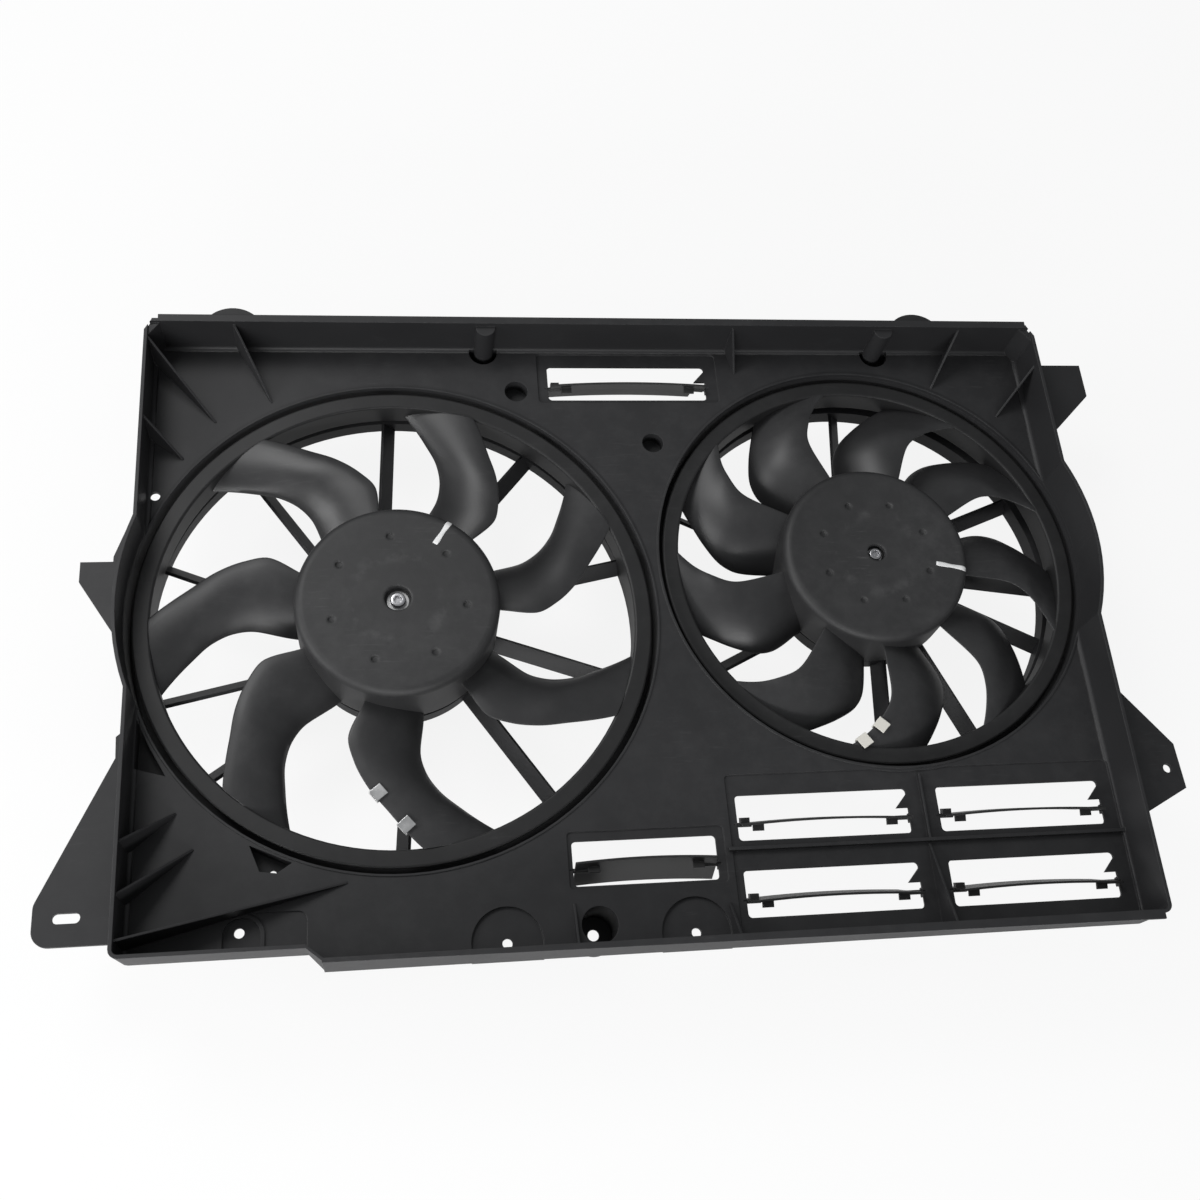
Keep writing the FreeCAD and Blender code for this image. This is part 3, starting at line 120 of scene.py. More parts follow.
def buildDustGroup():
    # pale dust that settles on faces that look up, thin and uneven
    group, entry, leave = newGroup("settledDust", {"Amount": 0.3, "Speck Scale": 60.0},
                                   {"Mask": "NodeSocketFloat"})
    geometry = addNode(group, "ShaderNodeNewGeometry")
    place = addNode(group, "ShaderNodeTexCoord").outputs["Object"]
    split = addNode(group, "ShaderNodeSeparateXYZ")
    group.links.new(geometry.outputs["Normal"], split.inputs["Vector"])
    facing = rangeOf(group, split.outputs["Z"], 0.3, 1.0)
    blotch = rangeOf(group, noiseOf(group, place, entry.outputs["Speck Scale"], 6.0, 0.7), 0.42, 0.75)
    wide = rangeOf(group, noiseOf(group, place, 7.0, 2.0, 0.5), 0.35, 0.7, 0.35, 1.0)
    mask = joinMath(group, "MULTIPLY", joinMath(group, "MULTIPLY", facing, blotch), wide)
    group.links.new(joinMath(group, "MULTIPLY", mask, entry.outputs["Amount"]), leave.inputs["Mask"])
    return group


def buildScuffGroup():
    # light rubbed streaks from handling
    group, entry, leave = newGroup("rubbedScuffs", {"Amount": 0.5, "Streak Scale": 55.0},
                                   {"Mask": "NodeSocketFloat"})
    place = addNode(group, "ShaderNodeTexCoord").outputs["Object"]
    streaks = noiseOf(group, place, entry.outputs["Streak Scale"], 4.0, 0.65, (1.0, 9.0, 1.0))
    patches = noiseOf(group, place, 12.0, 1.0, 0.5)
    mask = joinMath(group, "MULTIPLY", rangeOf(group, streaks, 0.58, 0.74), rangeOf(group, patches, 0.5, 0.66))
    group.links.new(joinMath(group, "MULTIPLY", mask, entry.outputs["Amount"]), leave.inputs["Mask"])
    return group


def buildEdgeGroup():
    # softened corners, and a mask of the edges where they are rubbed pale
    group, entry, leave = newGroup("softEdges", {"Wear": 0.4, "Radius": 0.7 * mm},
                                   {"Mask": "NodeSocketFloat", "Normal": "NodeSocketVector"})
    bevel = addNode(group, "ShaderNodeBevel", samples=6)
    group.links.new(entry.outputs["Radius"], bevel.inputs["Radius"])
    geometry = addNode(group, "ShaderNodeNewGeometry")
    dot = addNode(group, "ShaderNodeVectorMath", operation="DOT_PRODUCT")
    group.links.new(bevel.outputs["Normal"], dot.inputs[0])
    group.links.new(geometry.outputs["Normal"], dot.inputs[1])
    edge = rangeOf(group, dot.outputs["Value"], 0.98, 0.8)
    place = addNode(group, "ShaderNodeTexCoord").outputs["Object"]
    broken = rangeOf(group, noiseOf(group, place, 40.0, 5.0, 0.7), 0.4, 0.62)
    worn = joinMath(group, "MULTIPLY", joinMath(group, "MULTIPLY", edge, broken), entry.outputs["Wear"])
    group.links.new(worn, leave.inputs["Mask"])
    group.links.new(bevel.outputs["Normal"], leave.inputs["Normal"])
    return group


def buildSmearGroup():
    # faint pale smears in a ring round the hub's middle, where hands and gauges touch it
    group, entry, leave = newGroup("hubSmears", {"Centre X": 0.0, "Centre Y": 0.0},
                                   {"Mask": "NodeSocketFloat"})
    place = addNode(group, "ShaderNodeTexCoord").outputs["Object"]
    split = addNode(group, "ShaderNodeSeparateXYZ")
    group.links.new(place, split.inputs["Vector"])
    across = joinMath(group, "SUBTRACT", split.outputs["X"], entry.outputs["Centre X"])
    along = joinMath(group, "SUBTRACT", split.outputs["Y"], entry.outputs["Centre Y"])
    square = joinMath(group, "ADD", joinMath(group, "MULTIPLY", across, across),
                      joinMath(group, "MULTIPLY", along, along))
    radius = joinMath(group, "SQRT", square, 0.0)
    away = joinMath(group, "ABSOLUTE", joinMath(group, "SUBTRACT", radius, 33 * mm), 0.0)
    ring = rangeOf(group, away, 7 * mm, 1 * mm)
    broken = rangeOf(group, noiseOf(group, place, 45.0, 4.0, 0.65), 0.5, 0.68)
    mask = joinMath(group, "MULTIPLY", ring, broken)
    group.links.new(joinMath(group, "MULTIPLY", mask, 0.12), leave.inputs["Mask"])
    return group


grainGroup = buildGrainGroup()
smearGroup = buildSmearGroup()
dustGroup = buildDustGroup()
scuffGroup = buildScuffGroup()
edgeGroup = buildEdgeGroup()


def placeGroup(tree, group, **values):
    node = addNode(tree, "ShaderNodeGroup", node_tree=group)
    for label, value in values.items():
        node.inputs[label.replace("_", " ")].default_value = value
    return node


def mixColour(tree, factor, first, second):
    mix = addNode(tree, "ShaderNodeMix", data_type="RGBA")
    tree.links.new(factor, mix.inputs["Factor"])
    for index, value in ((6, first), (7, second)):
        if isinstance(value, tuple):
            mix.inputs[index].default_value = value
        else:
            tree.links.new(value, mix.inputs[index])
    return mix.outputs[2]


def startMaterial(name):
    material = bpy.data.materials.new(name)
    material.use_nodes = True
    tree = material.node_tree
    shader = tree.nodes["Principled BSDF"]
    return material, tree, shader


def bumpInto(tree, shader, height, strength, distance, normal=None):
    bump = addNode(tree, "ShaderNodeBump")
    bump.inputs["Strength"].default_value = strength
    bump.inputs["Distance"].default_value = distance
    tree.links.new(height, bump.inputs["Height"])
    if normal is not None:
        tree.links.new(normal, bump.inputs["Normal"])
    tree.links.new(bump.outputs["Normal"], shader.inputs["Normal"])


def mouldedPlastic(name, look):
    material, tree, shader = startMaterial(name)
    grain = placeGroup(tree, grainGroup, Pit_Scale=look["pitScale"])
    dust = placeGroup(tree, dustGroup, Amount=look["dust"])
    scuff = placeGroup(tree, scuffGroup, Amount=look["scuff"])
    edge = placeGroup(tree, edgeGroup, Wear=look["wear"], Radius=look.get("round", 0.7) * mm)
    colour = mixColour(tree, grain.outputs["Patch"], look["dark"], look["light"])
    if "smear" in look:
        smear = placeGroup(tree, smearGroup, Centre_X=look["smear"][0] * mm, Centre_Y=look["smear"][1] * mm)
        colour = mixColour(tree, smear.outputs["Mask"], colour, look["scuffColour"])
    colour = mixColour(tree, dust.outputs["Mask"], colour, look["dustColour"])
    colour = mixColour(tree, scuff.outputs["Mask"], colour, look["scuffColour"])
    colour = mixColour(tree, edge.outputs["Mask"], colour, look["scuffColour"])
    tree.links.new(colour, shader.inputs["Base Color"])
    rough = rangeOf(tree, grain.outputs["Patch"], 0.3, 0.7, look["roughness"] - 0.05, look["roughness"] + 0.06)
    rough = joinMath(tree, "ADD", rough, joinMath(tree, "MULTIPLY", dust.outputs["Mask"], 0.25))
    tree.links.new(rough, shader.inputs["Roughness"])
    shader.inputs["Specular IOR Level"].default_value = look["specular"]
    bumpInto(tree, shader, grain.outputs["Height"], look["bump"], 0.12 * mm, edge.outputs["Normal"])
    return material


def metalFinish(name, look):
    material, tree, shader = startMaterial(name)
    grain = placeGroup(tree, grainGroup, Pit_Scale=look["pitScale"], Patch_Scale=60.0)
    edge = placeGroup(tree, edgeGroup, Wear=0.5)
    colour = mixColour(tree, grain.outputs["Patch"], look["dark"], look["light"])
    colour = mixColour(tree, edge.outputs["Mask"], colour, look["edge"])
    tree.links.new(colour, shader.inputs["Base Color"])
    rough = rangeOf(tree, grain.outputs["Patch"], 0.3, 0.7, look["roughness"] - 0.06, look["roughness"] + 0.1)
    tree.links.new(rough, shader.inputs["Roughness"])
    shader.inputs["Metallic"].default_value = look["metallic"]
    bumpInto(tree, shader, grain.outputs["Height"], look["bump"], 0.05 * mm, edge.outputs["Normal"])
    return material


def grey(value, tint=0.0):
    return (value, value, value * (1 + tint), 1.0)


plasticLooks = {
    "shroud_plastic": {"dark": grey(0.016, 0.06), "light": grey(0.026, 0.06), "dustColour": grey(0.13),
                       "scuffColour": grey(0.17), "roughness": 0.5, "specular": 0.36, "bump": 0.3,
                       "pitScale": 1100.0, "dust": 0.1, "scuff": 0.08, "wear": 0.2},
    "fan_plastic": {"dark": grey(0.017, 0.04), "light": grey(0.03, 0.04), "dustColour": grey(0.15),
                    "scuffColour": grey(0.2), "roughness": 0.4, "specular": 0.5, "bump": 0.3,
                    "pitScale": 1300.0, "dust": 0.12, "scuff": 0.08, "wear": 0.25, "round": 1.4},
    "leftHubPlastic": {"dark": grey(0.019, 0.03), "light": grey(0.034, 0.03), "dustColour": grey(0.16),
                       "scuffColour": grey(0.24), "roughness": 0.52, "specular": 0.42, "bump": 0.45,
                       "pitScale": 1000.0, "dust": 0.16, "scuff": 0.12, "wear": 0.2, "round": 2.5,
                       "smear": (-168.5, 1.75)},
    "rightHubPlastic": {"dark": grey(0.019, 0.03), "light": grey(0.034, 0.03), "dustColour": grey(0.16),
                        "scuffColour": grey(0.24), "roughness": 0.52, "specular": 0.42, "bump": 0.45,
                        "pitScale": 1000.0, "dust": 0.16, "scuff": 0.16, "wear": 0.2, "round": 2.5,
                        "smear": (194.0, 38.5)},
    "ringPlastic": {"dark": grey(0.012, 0.03), "light": grey(0.02, 0.03), "dustColour": grey(0.12),
                    "scuffColour": grey(0.18), "roughness": 0.46, "specular": 0.34, "bump": 0.2,
                    "pitScale": 1400.0, "dust": 0.08, "scuff": 0.08, "wear": 0.3, "round": 1.0},
    "creamClip": {"dark": (0.66, 0.64, 0.58, 1), "light": (0.8, 0.78, 0.72, 1), "dustColour": grey(0.5),
                  "scuffColour": grey(0.5), "roughness": 0.5, "specular": 0.4, "bump": 0.2,
                  "pitScale": 1400.0, "dust": 0.05, "scuff": 0.1, "wear": 0.2},
    "flap_plastic": {"dark": grey(0.012), "light": grey(0.021), "dustColour": grey(0.12),
                     "scuffColour": grey(0.16), "roughness": 0.4, "specular": 0.42, "bump": 0.25,
                     "pitScale": 1500.0, "dust": 0.1, "scuff": 0.1, "wear": 0.25},
    "socket_plastic": {"dark": grey(0.014), "light": grey(0.024), "dustColour": grey(0.12),
                       "scuffColour": grey(0.16), "roughness": 0.5, "specular": 0.5, "bump": 0.3,
                       "pitScale": 1500.0, "dust": 0.08, "scuff": 0.08, "wear": 0.2},
    "card_resin": {"dark": (0.1, 0.055, 0.025, 1), "light": (0.17, 0.1, 0.05, 1), "dustColour": grey(0.2),
                   "scuffColour": (0.3, 0.2, 0.1, 1), "roughness": 0.55, "specular": 0.5, "bump": 0.2,
                   "pitScale": 900.0, "dust": 0.0, "scuff": 0.1, "wear": 0.3},
    "carbon": {"dark": grey(0.02), "light": grey(0.04), "dustColour": grey(0.08), "scuffColour": grey(0.1),
               "roughness": 0.6, "specular": 0.4, "bump": 0.3, "pitScale": 2000.0, "dust": 0.0, "scuff": 0.2,
               "wear": 0.4},
}

metalLooks = {
    "motor_coat": {"dark": grey(0.016), "light": grey(0.03), "edge": grey(0.22), "roughness": 0.38,
                   "metallic": 0.0, "bump": 0.3, "pitScale": 900.0},
    "cover_steel": {"dark": grey(0.42), "light": grey(0.56), "edge": grey(0.75), "roughness": 0.42,
                    "metallic": 1.0, "bump": 0.25, "pitScale": 700.0},
    "zinc_screw": {"dark": grey(0.42, 0.03), "light": grey(0.62, 0.03), "edge": grey(0.85), "roughness": 0.3,
                   "metallic": 1.0, "bump": 0.2, "pitScale": 1800.0},
    "spring_steel": {"dark": grey(0.62), "light": grey(0.78), "edge": grey(0.9), "roughness": 0.24,
                     "metallic": 1.0, "bump": 0.15, "pitScale": 1200.0},
    "insert_steel": {"dark": grey(0.42), "light": grey(0.55), "edge": grey(0.8), "roughness": 0.35,
                     "metallic": 1.0, "bump": 0.2, "pitScale": 1500.0},
    "shaft_steel": {"dark": grey(0.55), "light": grey(0.66), "edge": grey(0.8), "roughness": 0.2,
                    "metallic": 1.0, "bump": 0.1, "pitScale": 2000.0},
    "bearing_steel": {"dark": grey(0.5), "light": grey(0.62), "edge": grey(0.8), "roughness": 0.22,
                      "metallic": 1.0, "bump": 0.1, "pitScale": 2000.0},
    "core_steel": {"dark": grey(0.2), "light": grey(0.32), "edge": grey(0.5), "roughness": 0.5,
                   "metallic": 1.0, "bump": 0.4, "pitScale": 1400.0},
    "copper_wire": {"dark": (0.42, 0.17, 0.06, 1), "light": (0.6, 0.27, 0.1, 1), "edge": (0.7, 0.35, 0.15, 1),
                    "roughness": 0.32, "metallic": 1.0, "bump": 0.5, "pitScale": 900.0},
    "commutator_copper": {"dark": (0.5, 0.25, 0.12, 1), "light": (0.66, 0.36, 0.2, 1),
                          "edge": (0.8, 0.5, 0.3, 1), "roughness": 0.3, "metallic": 1.0, "bump": 0.2,
                          "pitScale": 1500.0},
    "ferrite": {"dark": grey(0.04), "light": grey(0.07), "edge": grey(0.12), "roughness": 0.6,
                "metallic": 0.0, "bump": 0.4, "pitScale": 1500.0},
    "tin_brass": {"dark": (0.6, 0.55, 0.38, 1), "light": (0.74, 0.7, 0.54, 1), "edge": (0.85, 0.8, 0.65, 1),
                  "roughness": 0.3, "metallic": 1.0, "bump": 0.15, "pitScale": 1500.0},
}

finishes = {name: mouldedPlastic(name, look) for name, look in plasticLooks.items()}
finishes.update({name: metalFinish(name, look) for name, look in metalLooks.items()})
ownFinish = {"left_hub": "leftHubPlastic", "right_hub": "rightHubPlastic", "left_fan_ring": "ringPlastic",
             "right_fan_ring": "ringPlastic", "right_balance_clips": "creamClip"}
for part in frame["record"]["subparts"]:
    node = frame["nodes"][part["node"]]
    for slot in node.material_slots:
        slot.material = finishes[ownFinish.get(part["node"], part["material_slot"])]
print("finishes on the frame:", len(finishes))


def finishPiece(mesh, name, material, body):
    piece = bpy.data.objects.new(name, mesh)
    bpy.context.scene.collection.objects.link(piece)
    mesh.materials.append(material)
    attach(piece, body)
    return piece


# Paint dab on each hub, brushed outwards over the rounded edge

paintMaterial, paintTree, paintShader = startMaterial("balanceMarkPaint")
paintGrain = placeGroup(paintTree, grainGroup, Pit_Scale=700.0, Patch_Scale=140.0)
paintColour = mixColour(paintTree, paintGrain.outputs["Patch"], grey(0.72), grey(0.9))
paintTree.links.new(paintColour, paintShader.inputs["Base Color"])
paintShader.inputs["Roughness"].default_value = 0.45
bumpInto(paintTree, paintShader, paintGrain.outputs["Height"], 0.6, 0.15 * mm)

paintDab = {"hubRadius": 72.5, "edgeRadius": 6.0, "film": 0.22, "sink": 0.15, "rows": 16, "columns": 7}
paintMarks = {
    "left": {"centre": (-168.5, 1.75), "face": 107.0, "angle": 57.0, "from": 50.0, "sweep": 62.0, "width": 3.6},
    "right": {"centre": (194.0, 38.5), "face": 91.5, "angle": -12.5, "from": 47.0, "sweep": 50.0, "width": 3.4},
}


def hubProfile(distance, face, lift):
    # point on the hub's face or round edge at a run length from the centre, lifted off the surface
    flat = paintDab["hubRadius"] - paintDab["edgeRadius"]
    if distance <= flat:
        return distance, face + lift
    turn = (distance - flat) / paintDab["edgeRadius"]
    reach = paintDab["edgeRadius"] + lift
    return flat + reach * math.sin(turn), face - paintDab["edgeRadius"] + reach * math.cos(turn)


def buildPaintMark(side, mark):
    sheet = bmesh.new()
    rows, columns = paintDab["rows"], paintDab["columns"]
    runEnd = paintDab["hubRadius"] - paintDab["edgeRadius"] + paintDab["edgeRadius"] * math.radians(mark["sweep"])
    layers = []
    for lift in (paintDab["film"], -paintDab["sink"]):
        grid = []
        for i in range(rows):
            share = i / (rows - 1)
            run = mark["from"] + share * (runEnd - mark["from"])
            ragged = 1 + 0.13 * math.sin(9 * share + mark["angle"]) - 0.35 * max(0, abs(share - 0.5) * 2 - 0.75)
            row = []
            for j in range(columns):
                across = (j / (columns - 1) - 0.5) * mark["width"] * ragged
                middle = 1 - (2 * j / (columns - 1) - 1) ** 2
                edge = min(1.0, 4 * share, 4 * (1 - share))
                thick = lift * (0.25 + 0.75 * middle * edge) if lift > 0 else lift
                radius, height = hubProfile(run + 0.5 * math.sin(3 * j), mark["face"], thick)
                angle = math.radians(mark["angle"])
                x = mark["centre"][0] + radius * math.cos(angle) - across * math.sin(angle)
                y = mark["centre"][1] + radius * math.sin(angle) + across * math.cos(angle)
                row.append(sheet.verts.new((x * mm, y * mm, height * mm)))
            grid.append(row)
        layers.append(grid)
    top, bottom = layers
    for i in range(rows - 1):
        for j in range(columns - 1):
            sheet.faces.new((top[i][j], top[i + 1][j], top[i + 1][j + 1], top[i][j + 1]))
            sheet.faces.new((bottom[i][j], bottom[i][j + 1], bottom[i + 1][j + 1], bottom[i + 1][j]))
    outline = [(i, 0) for i in range(rows)] + [(rows - 1, j) for j in range(1, columns)]
    outline += [(i, columns - 1) for i in range(rows - 2, -1, -1)] + [(0, j) for j in range(columns - 2, 0, -1)]
    for (a, b), (c, d) in zip(outline, outline[1:] + outline[:1]):
        sheet.faces.new((top[a][b], bottom[a][b], bottom[c][d], top[c][d]))
    bmesh.ops.recalc_face_normals(sheet, faces=sheet.faces)
    mesh = bpy.data.meshes.new(side + "PaintMark")
    sheet.to_mesh(mesh)
    sheet.free()
    for face in mesh.polygons:
        face.use_smooth = True
    return finishPiece(mesh, side + "PaintMark", paintMaterial, side + "_rotor")


for side, mark in paintMarks.items():
    buildPaintMark(side, mark)
print("paint marks placed")


# Blades: the same swept sections as the solid ones, drawn smooth and with rounded edges

bladeShape = {"thickness": 2.6, "root": 4.0, "sink": 1.0, "spans": 40, "across": 14, "hubRadius": 72.5,
              "up": 80.0, "edgeReach": 1.6, "edgeShare": 0.25}

# Each section: share of the way from hub to ring, angle of the middle, chord angle,
# height of the leading edge, height of the trailing edge, camber
fanBlades = {
    "left": {"ringRadius": 173.0, "angles": (219.0, 267.0, 324.0, 15.3, 61.9, 116.1, 172.6),
             "sections": ((0.00, 0.0, 34.0, 5.0, -19.0, 4.0), (0.26, -3.6, 29.5, 6.0, -16.0, 6.0),
                          (0.42, -1.1, 24.8, 5.0, -14.0, 6.0), (0.58, 3.6, 21.4, 4.0, -13.0, 6.0),
                          (0.73, 9.1, 19.4, 2.0, -13.5, 5.0), (1.00, 17.3, 18.0, -1.0, -15.0, 3.0))},
    "right": {"ringRadius": 150.5, "angles": (163.7, 203.7, 246.7, 283.7, 323.7, 3.7, 43.7, 80.2, 123.7),
              "sections": ((0.00, 0.0, 33.0, 0.0, -29.5, 4.0), (0.33, 0.0, 30.3, -1.0, -28.5, 7.0),
                           (0.50, -2.0, 27.6, -1.5, -26.5, 7.0), (0.67, -7.0, 24.8, -2.5, -23.5, 6.0),
                           (0.81, -11.7, 23.2, -5.0, -21.5, 5.0), (1.00, -18.5, 22.8, -6.0, -21.0, 3.0))},
}


def sectionAt(sections, share):
    # smooth values between the listed sections
    last = len(sections) - 1
    i = max(k for k in range(last) if sections[k][0] <= share or k == 0)
    a, b = sections[i], sections[i + 1]
    before, after = sections[max(i - 1, 0)], sections[min(i + 2, last)]
    width = b[0] - a[0]
    t = (share - a[0]) / width
    values = []
    for k in range(1, 6):
        slopeA = (b[k] - before[k]) / (b[0] - before[0])
        slopeB = (after[k] - a[k]) / (after[0] - a[0])
        values.append((2 * t ** 3 - 3 * t ** 2 + 1) * a[k] + (t ** 3 - 2 * t ** 2 + t) * width * slopeA
                      + (3 * t ** 2 - 2 * t ** 3) * b[k] + (t ** 3 - t ** 2) * width * slopeB)
    return values


def bladeOutline():
    # places round one section: share of the chord, and which side of the middle line
    count = bladeShape["across"]
    places = [(i / count, 1) for i in range(count + 1)]
    return places + [(i / count, -1) for i in range(count, -1, -1)]


def edgeRounding(depth):
    # share of its full thickness that the blade has at a depth from its leading or trailing edge
    near = min(1.0, depth / bladeShape["edgeReach"])
    return bladeShape["edgeShare"] + (1 - bladeShape["edgeShare"]) * math.sqrt(1 - (1 - near) ** 2)


def bladePoint(fan, radius, place):
    # point at a true radius from the axis: the section there is square to a slightly smaller one
    near = bladeShape["hubRadius"] - bladeShape["root"]
    far = fan["ringRadius"] + 2
    t, side = place
    sectionRadius = radius
    for _ in range(6):
        middle, chord, leadZ, trailZ, camber = sectionAt(fan["sections"], (sectionRadius - near) / (far - near))
        half = sectionRadius * math.radians(chord) / 2
        run = math.hypot(2 * half, leadZ - trailZ)
        normal = ((leadZ - trailZ) / run, 2 * half / run)
        bow = 4 * t * (1 - t)
        ends = bladeShape["thickness"] / 3
        thick = (ends + bow * (bladeShape["thickness"] / 2 - ends)) * edgeRounding(min(t, 1 - t) * 2 * half)
        offset = bow * camber + side * thick
        along = -half + t * 2 * half + normal[0] * offset
        sectionRadius = math.sqrt(radius ** 2 - min(along ** 2, radius ** 2 / 2))
    angle = math.radians(middle) + math.atan2(along, sectionRadius)
    return angle, leadZ + t * (trailZ - leadZ) + normal[1] * offset


def buildBlades(side, fan, centre):
    sheet = bmesh.new()
    places = bladeOutline()
    spans = bladeShape["spans"]
    low, high = bladeShape["hubRadius"] - bladeShape["sink"], fan["ringRadius"] + bladeShape["sink"]
    rows = []
    for step in range(spans + 1):
        radius = low + (high - low) * step / spans
        rows.append([(radius,) + bladePoint(fan, radius, place) for place in places])
    for turn in fan["angles"]:
        loops = []
        for row in rows:
            loops.append([sheet.verts.new(((centre[0] + radius * math.cos(angle + math.radians(turn))) * mm,
                                           (centre[1] + radius * math.sin(angle + math.radians(turn))) * mm,
                                           (height + bladeShape["up"]) * mm)) for radius, angle, height in row])
        for first, second in zip(loops, loops[1:]):
            for i in range(len(places)):
                j = (i + 1) % len(places)
                sheet.faces.new((first[i], first[j], second[j], second[i]))
        sheet.faces.new(loops[0])
        sheet.faces.new(loops[-1])
    bmesh.ops.recalc_face_normals(sheet, faces=sheet.faces)
    mesh = bpy.data.meshes.new(side + "SweptBlades")
    sheet.to_mesh(mesh)
    sheet.free()
    for face in mesh.polygons:
        face.use_smooth = True
    mesh.set_sharp_from_angle(angle=math.radians(50))
    piece = finishPiece(mesh, side + "SweptBlades", finishes["fan_plastic"], side + "_rotor")
    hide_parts(side + "_blades")


for side, fan in fanBlades.items():
    buildBlades(side, fan, paintMarks[side]["centre"])
print("blades placed")


# Screws: a domed head with a star recess on a plain shank, in place of the plain CAD screws

screwShape = {"segments": 60, "lobes": 6, "starRadius": 2.6, "starDepth": 0.28, "recessDepth": 2.0, "rise": 0.9}


def nodeBox(name):
    # lowest and highest corner of a CAD node at rest
    node = frame["nodes"][name]
    corners = [node.matrix_world @ Vector(corner) for corner in node.bound_box]
    low = [min(corner[axis] for corner in corners) for axis in range(3)]
    high = [max(corner[axis] for corner in corners) for axis in range(3)]
    return low, high


def addScrew(sheet, centre, head, shank, headZ, topZ, endZ):
    # one closed screw; topZ is the head's crown, endZ the far end of the shank
    shape = screwShape
    way = 1 if topZ > headZ else -1
    rise = shape["rise"] * mm
    star = shape["starRadius"] * mm
    side = topZ - way * rise
    floor = topZ - way * shape["recessDepth"] * mm
    rings = [(0.0, floor, False), (star, floor, True), (star, topZ - way * 0.25 * rise, True), (star + 0.15 * mm, topZ - way * 0.02 * rise, True)]
    for step in range(1, 9):
        share = step / 8
        radius = star + 0.5 * mm + (head - star - 0.5 * mm) * share
        rings.append((radius, side + way * rise * math.sqrt(max(0.0, 1 - share ** 2.6)), False))
    rings += [(head, headZ, False), (shank, headZ, False), (shank, endZ + way * 0.4 * mm, False),
              (shank - 0.4 * mm, endZ, False), (0.0, endZ, False)]
    loops = []
    for radius, height, starred in rings:
        if radius == 0.0:
            loops.append([sheet.verts.new((centre[0], centre[1], height))])
            continue
        loop = []
        for i in range(shape["segments"]):
            angle = 2 * math.pi * i / shape["segments"]
            wave = 1 + (shape["starDepth"] * 0.5 * math.cos(shape["lobes"] * angle) if starred else 0)
            loop.append(sheet.verts.new((centre[0] + radius * wave * math.cos(angle),
                                         centre[1] + radius * wave * math.sin(angle), height)))
        loops.append(loop)
    for first, second in zip(loops, loops[1:]):
        count = max(len(first), len(second))
        for i in range(count):
            corners = [first[i % len(first)], first[(i + 1) % len(first)],
                       second[(i + 1) % len(second)], second[i % len(second)]]
            corners = [corner for k, corner in enumerate(corners) if corner not in corners[:k]]
            sheet.faces.new(corners)


def buildScrews(name, node, body, centres, head, shank, headZ, topZ, endZ):
    sheet = bmesh.new()
    for centre in centres:
        addScrew(sheet, centre, head, shank, headZ, topZ, endZ)
    bmesh.ops.recalc_face_normals(sheet, faces=sheet.faces)
    mesh = bpy.data.meshes.new(name)
    sheet.to_mesh(mesh)
    sheet.free()
    for face in mesh.polygons:
        face.use_smooth = True
    mesh.set_sharp_from_angle(angle=math.radians(40))
    piece = finishPiece(mesh, name, finishes["zinc_screw"], body)
    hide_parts(node)


hubScrew = {"head": 3.6, "shankRadius": 2.5}
motorScrew = {"head": 3.5, "shankRadius": 2.5, "headRadius": 5.0, "circle": 63.0, "first": 30.0, "count": 3}
for side, mark in paintMarks.items():
    low, high = nodeBox(side + "_hub_screw")
    middle = (mark["centre"][0] * mm, mark["centre"][1] * mm)
    buildScrews(side + "StarScrew", side + "_hub_screw", side + "_rotor", [middle], (high[0] - low[0]) / 2,
                hubScrew["shankRadius"] * mm, high[2] - hubScrew["head"] * mm, high[2], low[2])
    low, high = nodeBox(side + "_motor_screws")
    centres = []
    for i in range(motorScrew["count"]):
        angle = math.radians(motorScrew["first"] + i * 360 / motorScrew["count"])
        centres.append((middle[0] + motorScrew["circle"] * mm * math.cos(angle),
                        middle[1] + motorScrew["circle"] * mm * math.sin(angle)))
    buildScrews(side + "MotorStarScrews", side + "_motor_screws", "module", centres,
                motorScrew["headRadius"] * mm, motorScrew["shankRadius"] * mm,
                low[2] + motorScrew["head"] * mm, low[2], high[2])
print("screws placed")


# Floor, light and camera

studio = {"floorSize": 9.0, "floorColour": 0.86, "worldStrength": 0.3, "whiteShare": 0.88,
          "mirrorShare": 0.4}


def buildFloor():
    mesh = bpy.data.meshes.new("studioFloor")
    half = studio["floorSize"] / 2
    mesh.from_pydata([(-half, -half, 0), (half, -half, 0), (half, half, 0), (-half, half, 0)], [], [(0, 1, 2, 3)])
    floor = bpy.data.objects.new("studioFloor", mesh)
    bpy.context.scene.collection.objects.link(floor)
    material = bpy.data.materials.new("paleFloor")
    material.use_nodes = True
    tree = material.node_tree
    tree.nodes.clear()
    output = addNode(tree, "ShaderNodeOutputMaterial")
    matte = addNode(tree, "ShaderNodeBsdfDiffuse")
    matte.inputs["Color"].default_value = grey(studio["floorColour"])
    white = addNode(tree, "ShaderNodeEmission")
    mix = addNode(tree, "ShaderNodeMixShader")
    rays = addNode(tree, "ShaderNodeLightPath")
    mirrored = joinMath(tree, "MULTIPLY", rays.outputs["Is Glossy Ray"], studio["mirrorShare"])
    seen = joinMath(tree, "MAXIMUM", rays.outputs["Is Camera Ray"], mirrored)
    seen = joinMath(tree, "MAXIMUM", seen, rays.outputs["Is Transmission Ray"])
    tree.links.new(joinMath(tree, "MULTIPLY", seen, studio["whiteShare"]), mix.inputs["Fac"])
    tree.links.new(matte.outputs["BSDF"], mix.inputs[1])
    tree.links.new(white.outputs["Emission"], mix.inputs[2])
    tree.links.new(mix.outputs["Shader"], output.inputs["Surface"])
    mesh.materials.append(material)


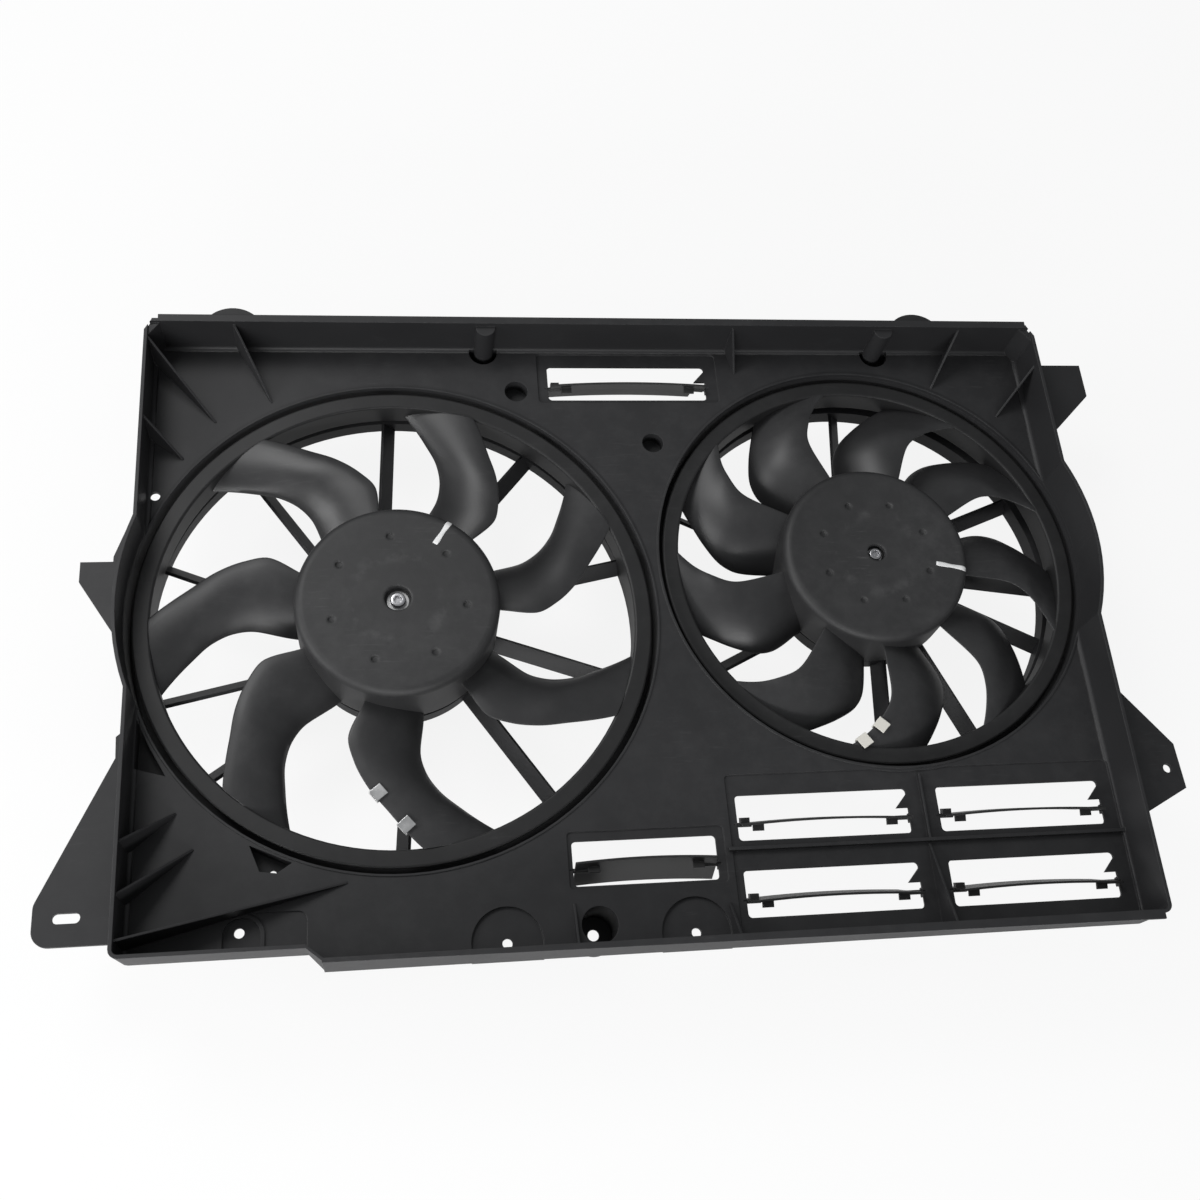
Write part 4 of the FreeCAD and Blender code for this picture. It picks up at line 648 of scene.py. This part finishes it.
def buildWorld():
    world = bpy.data.worlds.new("softRoom")
    bpy.context.scene.world = world
    world.use_nodes = True
    tree = world.node_tree
    tree.nodes.clear()
    output = addNode(tree, "ShaderNodeOutputWorld")
    room = addNode(tree, "ShaderNodeBackground")
    room.inputs["Color"].default_value = (0.96, 0.98, 1.0, 1.0)
    room.inputs["Strength"].default_value = studio["worldStrength"]
    white = addNode(tree, "ShaderNodeBackground")
    white.inputs["Strength"].default_value = 1.0
    mix = addNode(tree, "ShaderNodeMixShader")
    rays = addNode(tree, "ShaderNodeLightPath")
    tree.links.new(rays.outputs["Is Camera Ray"], mix.inputs["Fac"])
    tree.links.new(room.outputs["Background"], mix.inputs[1])
    tree.links.new(white.outputs["Background"], mix.inputs[2])
    tree.links.new(mix.outputs["Shader"], output.inputs["Surface"])


lamps = {
    "overheadSoftbox": {"place": (-0.9, 0.9, 1.7), "aim": (-0.1, 0.1, 0.1), "size": (1.0, 0.7), "power": 14.0},
    "leftSoftbox": {"place": (-1.7, -0.2, 0.9), "aim": (-0.1, 0.0, 0.1), "size": (0.9, 0.5), "power": 14.0},
    "lowFront": {"place": (-0.35, -1.6, 0.75), "aim": (0.0, 0.0, 0.1), "size": (1.6, 0.35), "power": 20.0},
}


def buildLamp(name, lamp):
    light = bpy.data.lights.new(name, "AREA")
    light.shape = "RECTANGLE"
    light.size, light.size_y = lamp["size"]
    light.energy = lamp["power"]
    holder = bpy.data.objects.new(name, light)
    bpy.context.scene.collection.objects.link(holder)
    holder.location = lamp["place"]
    holder.rotation_euler = (Vector(lamp["aim"]) - Vector(lamp["place"])).to_track_quat("-Z", "Y").to_euler()


buildFloor()
buildWorld()
for name, lamp in lamps.items():
    buildLamp(name, lamp)
print("floor and lamps placed")

photoView = {"place": (-0.17595, -0.40586, 1.01977), "turn": (24.188, -7.367, -4.623), "lens": 42.164,
             "sensor": 36.0}
camera = bpy.data.cameras.new("photoCamera")
camera.sensor_width = photoView["sensor"]
camera.sensor_height = photoView["sensor"]
camera.lens = photoView["lens"]
viewer = bpy.data.objects.new("photoCamera", camera)
bpy.context.scene.collection.objects.link(viewer)
viewer.location = photoView["place"]
viewer.rotation_euler = [math.radians(angle) for angle in photoView["turn"]]
bpy.context.scene.camera = viewer
bpy.context.scene.view_settings.view_transform = "Standard"
print("camera placed")
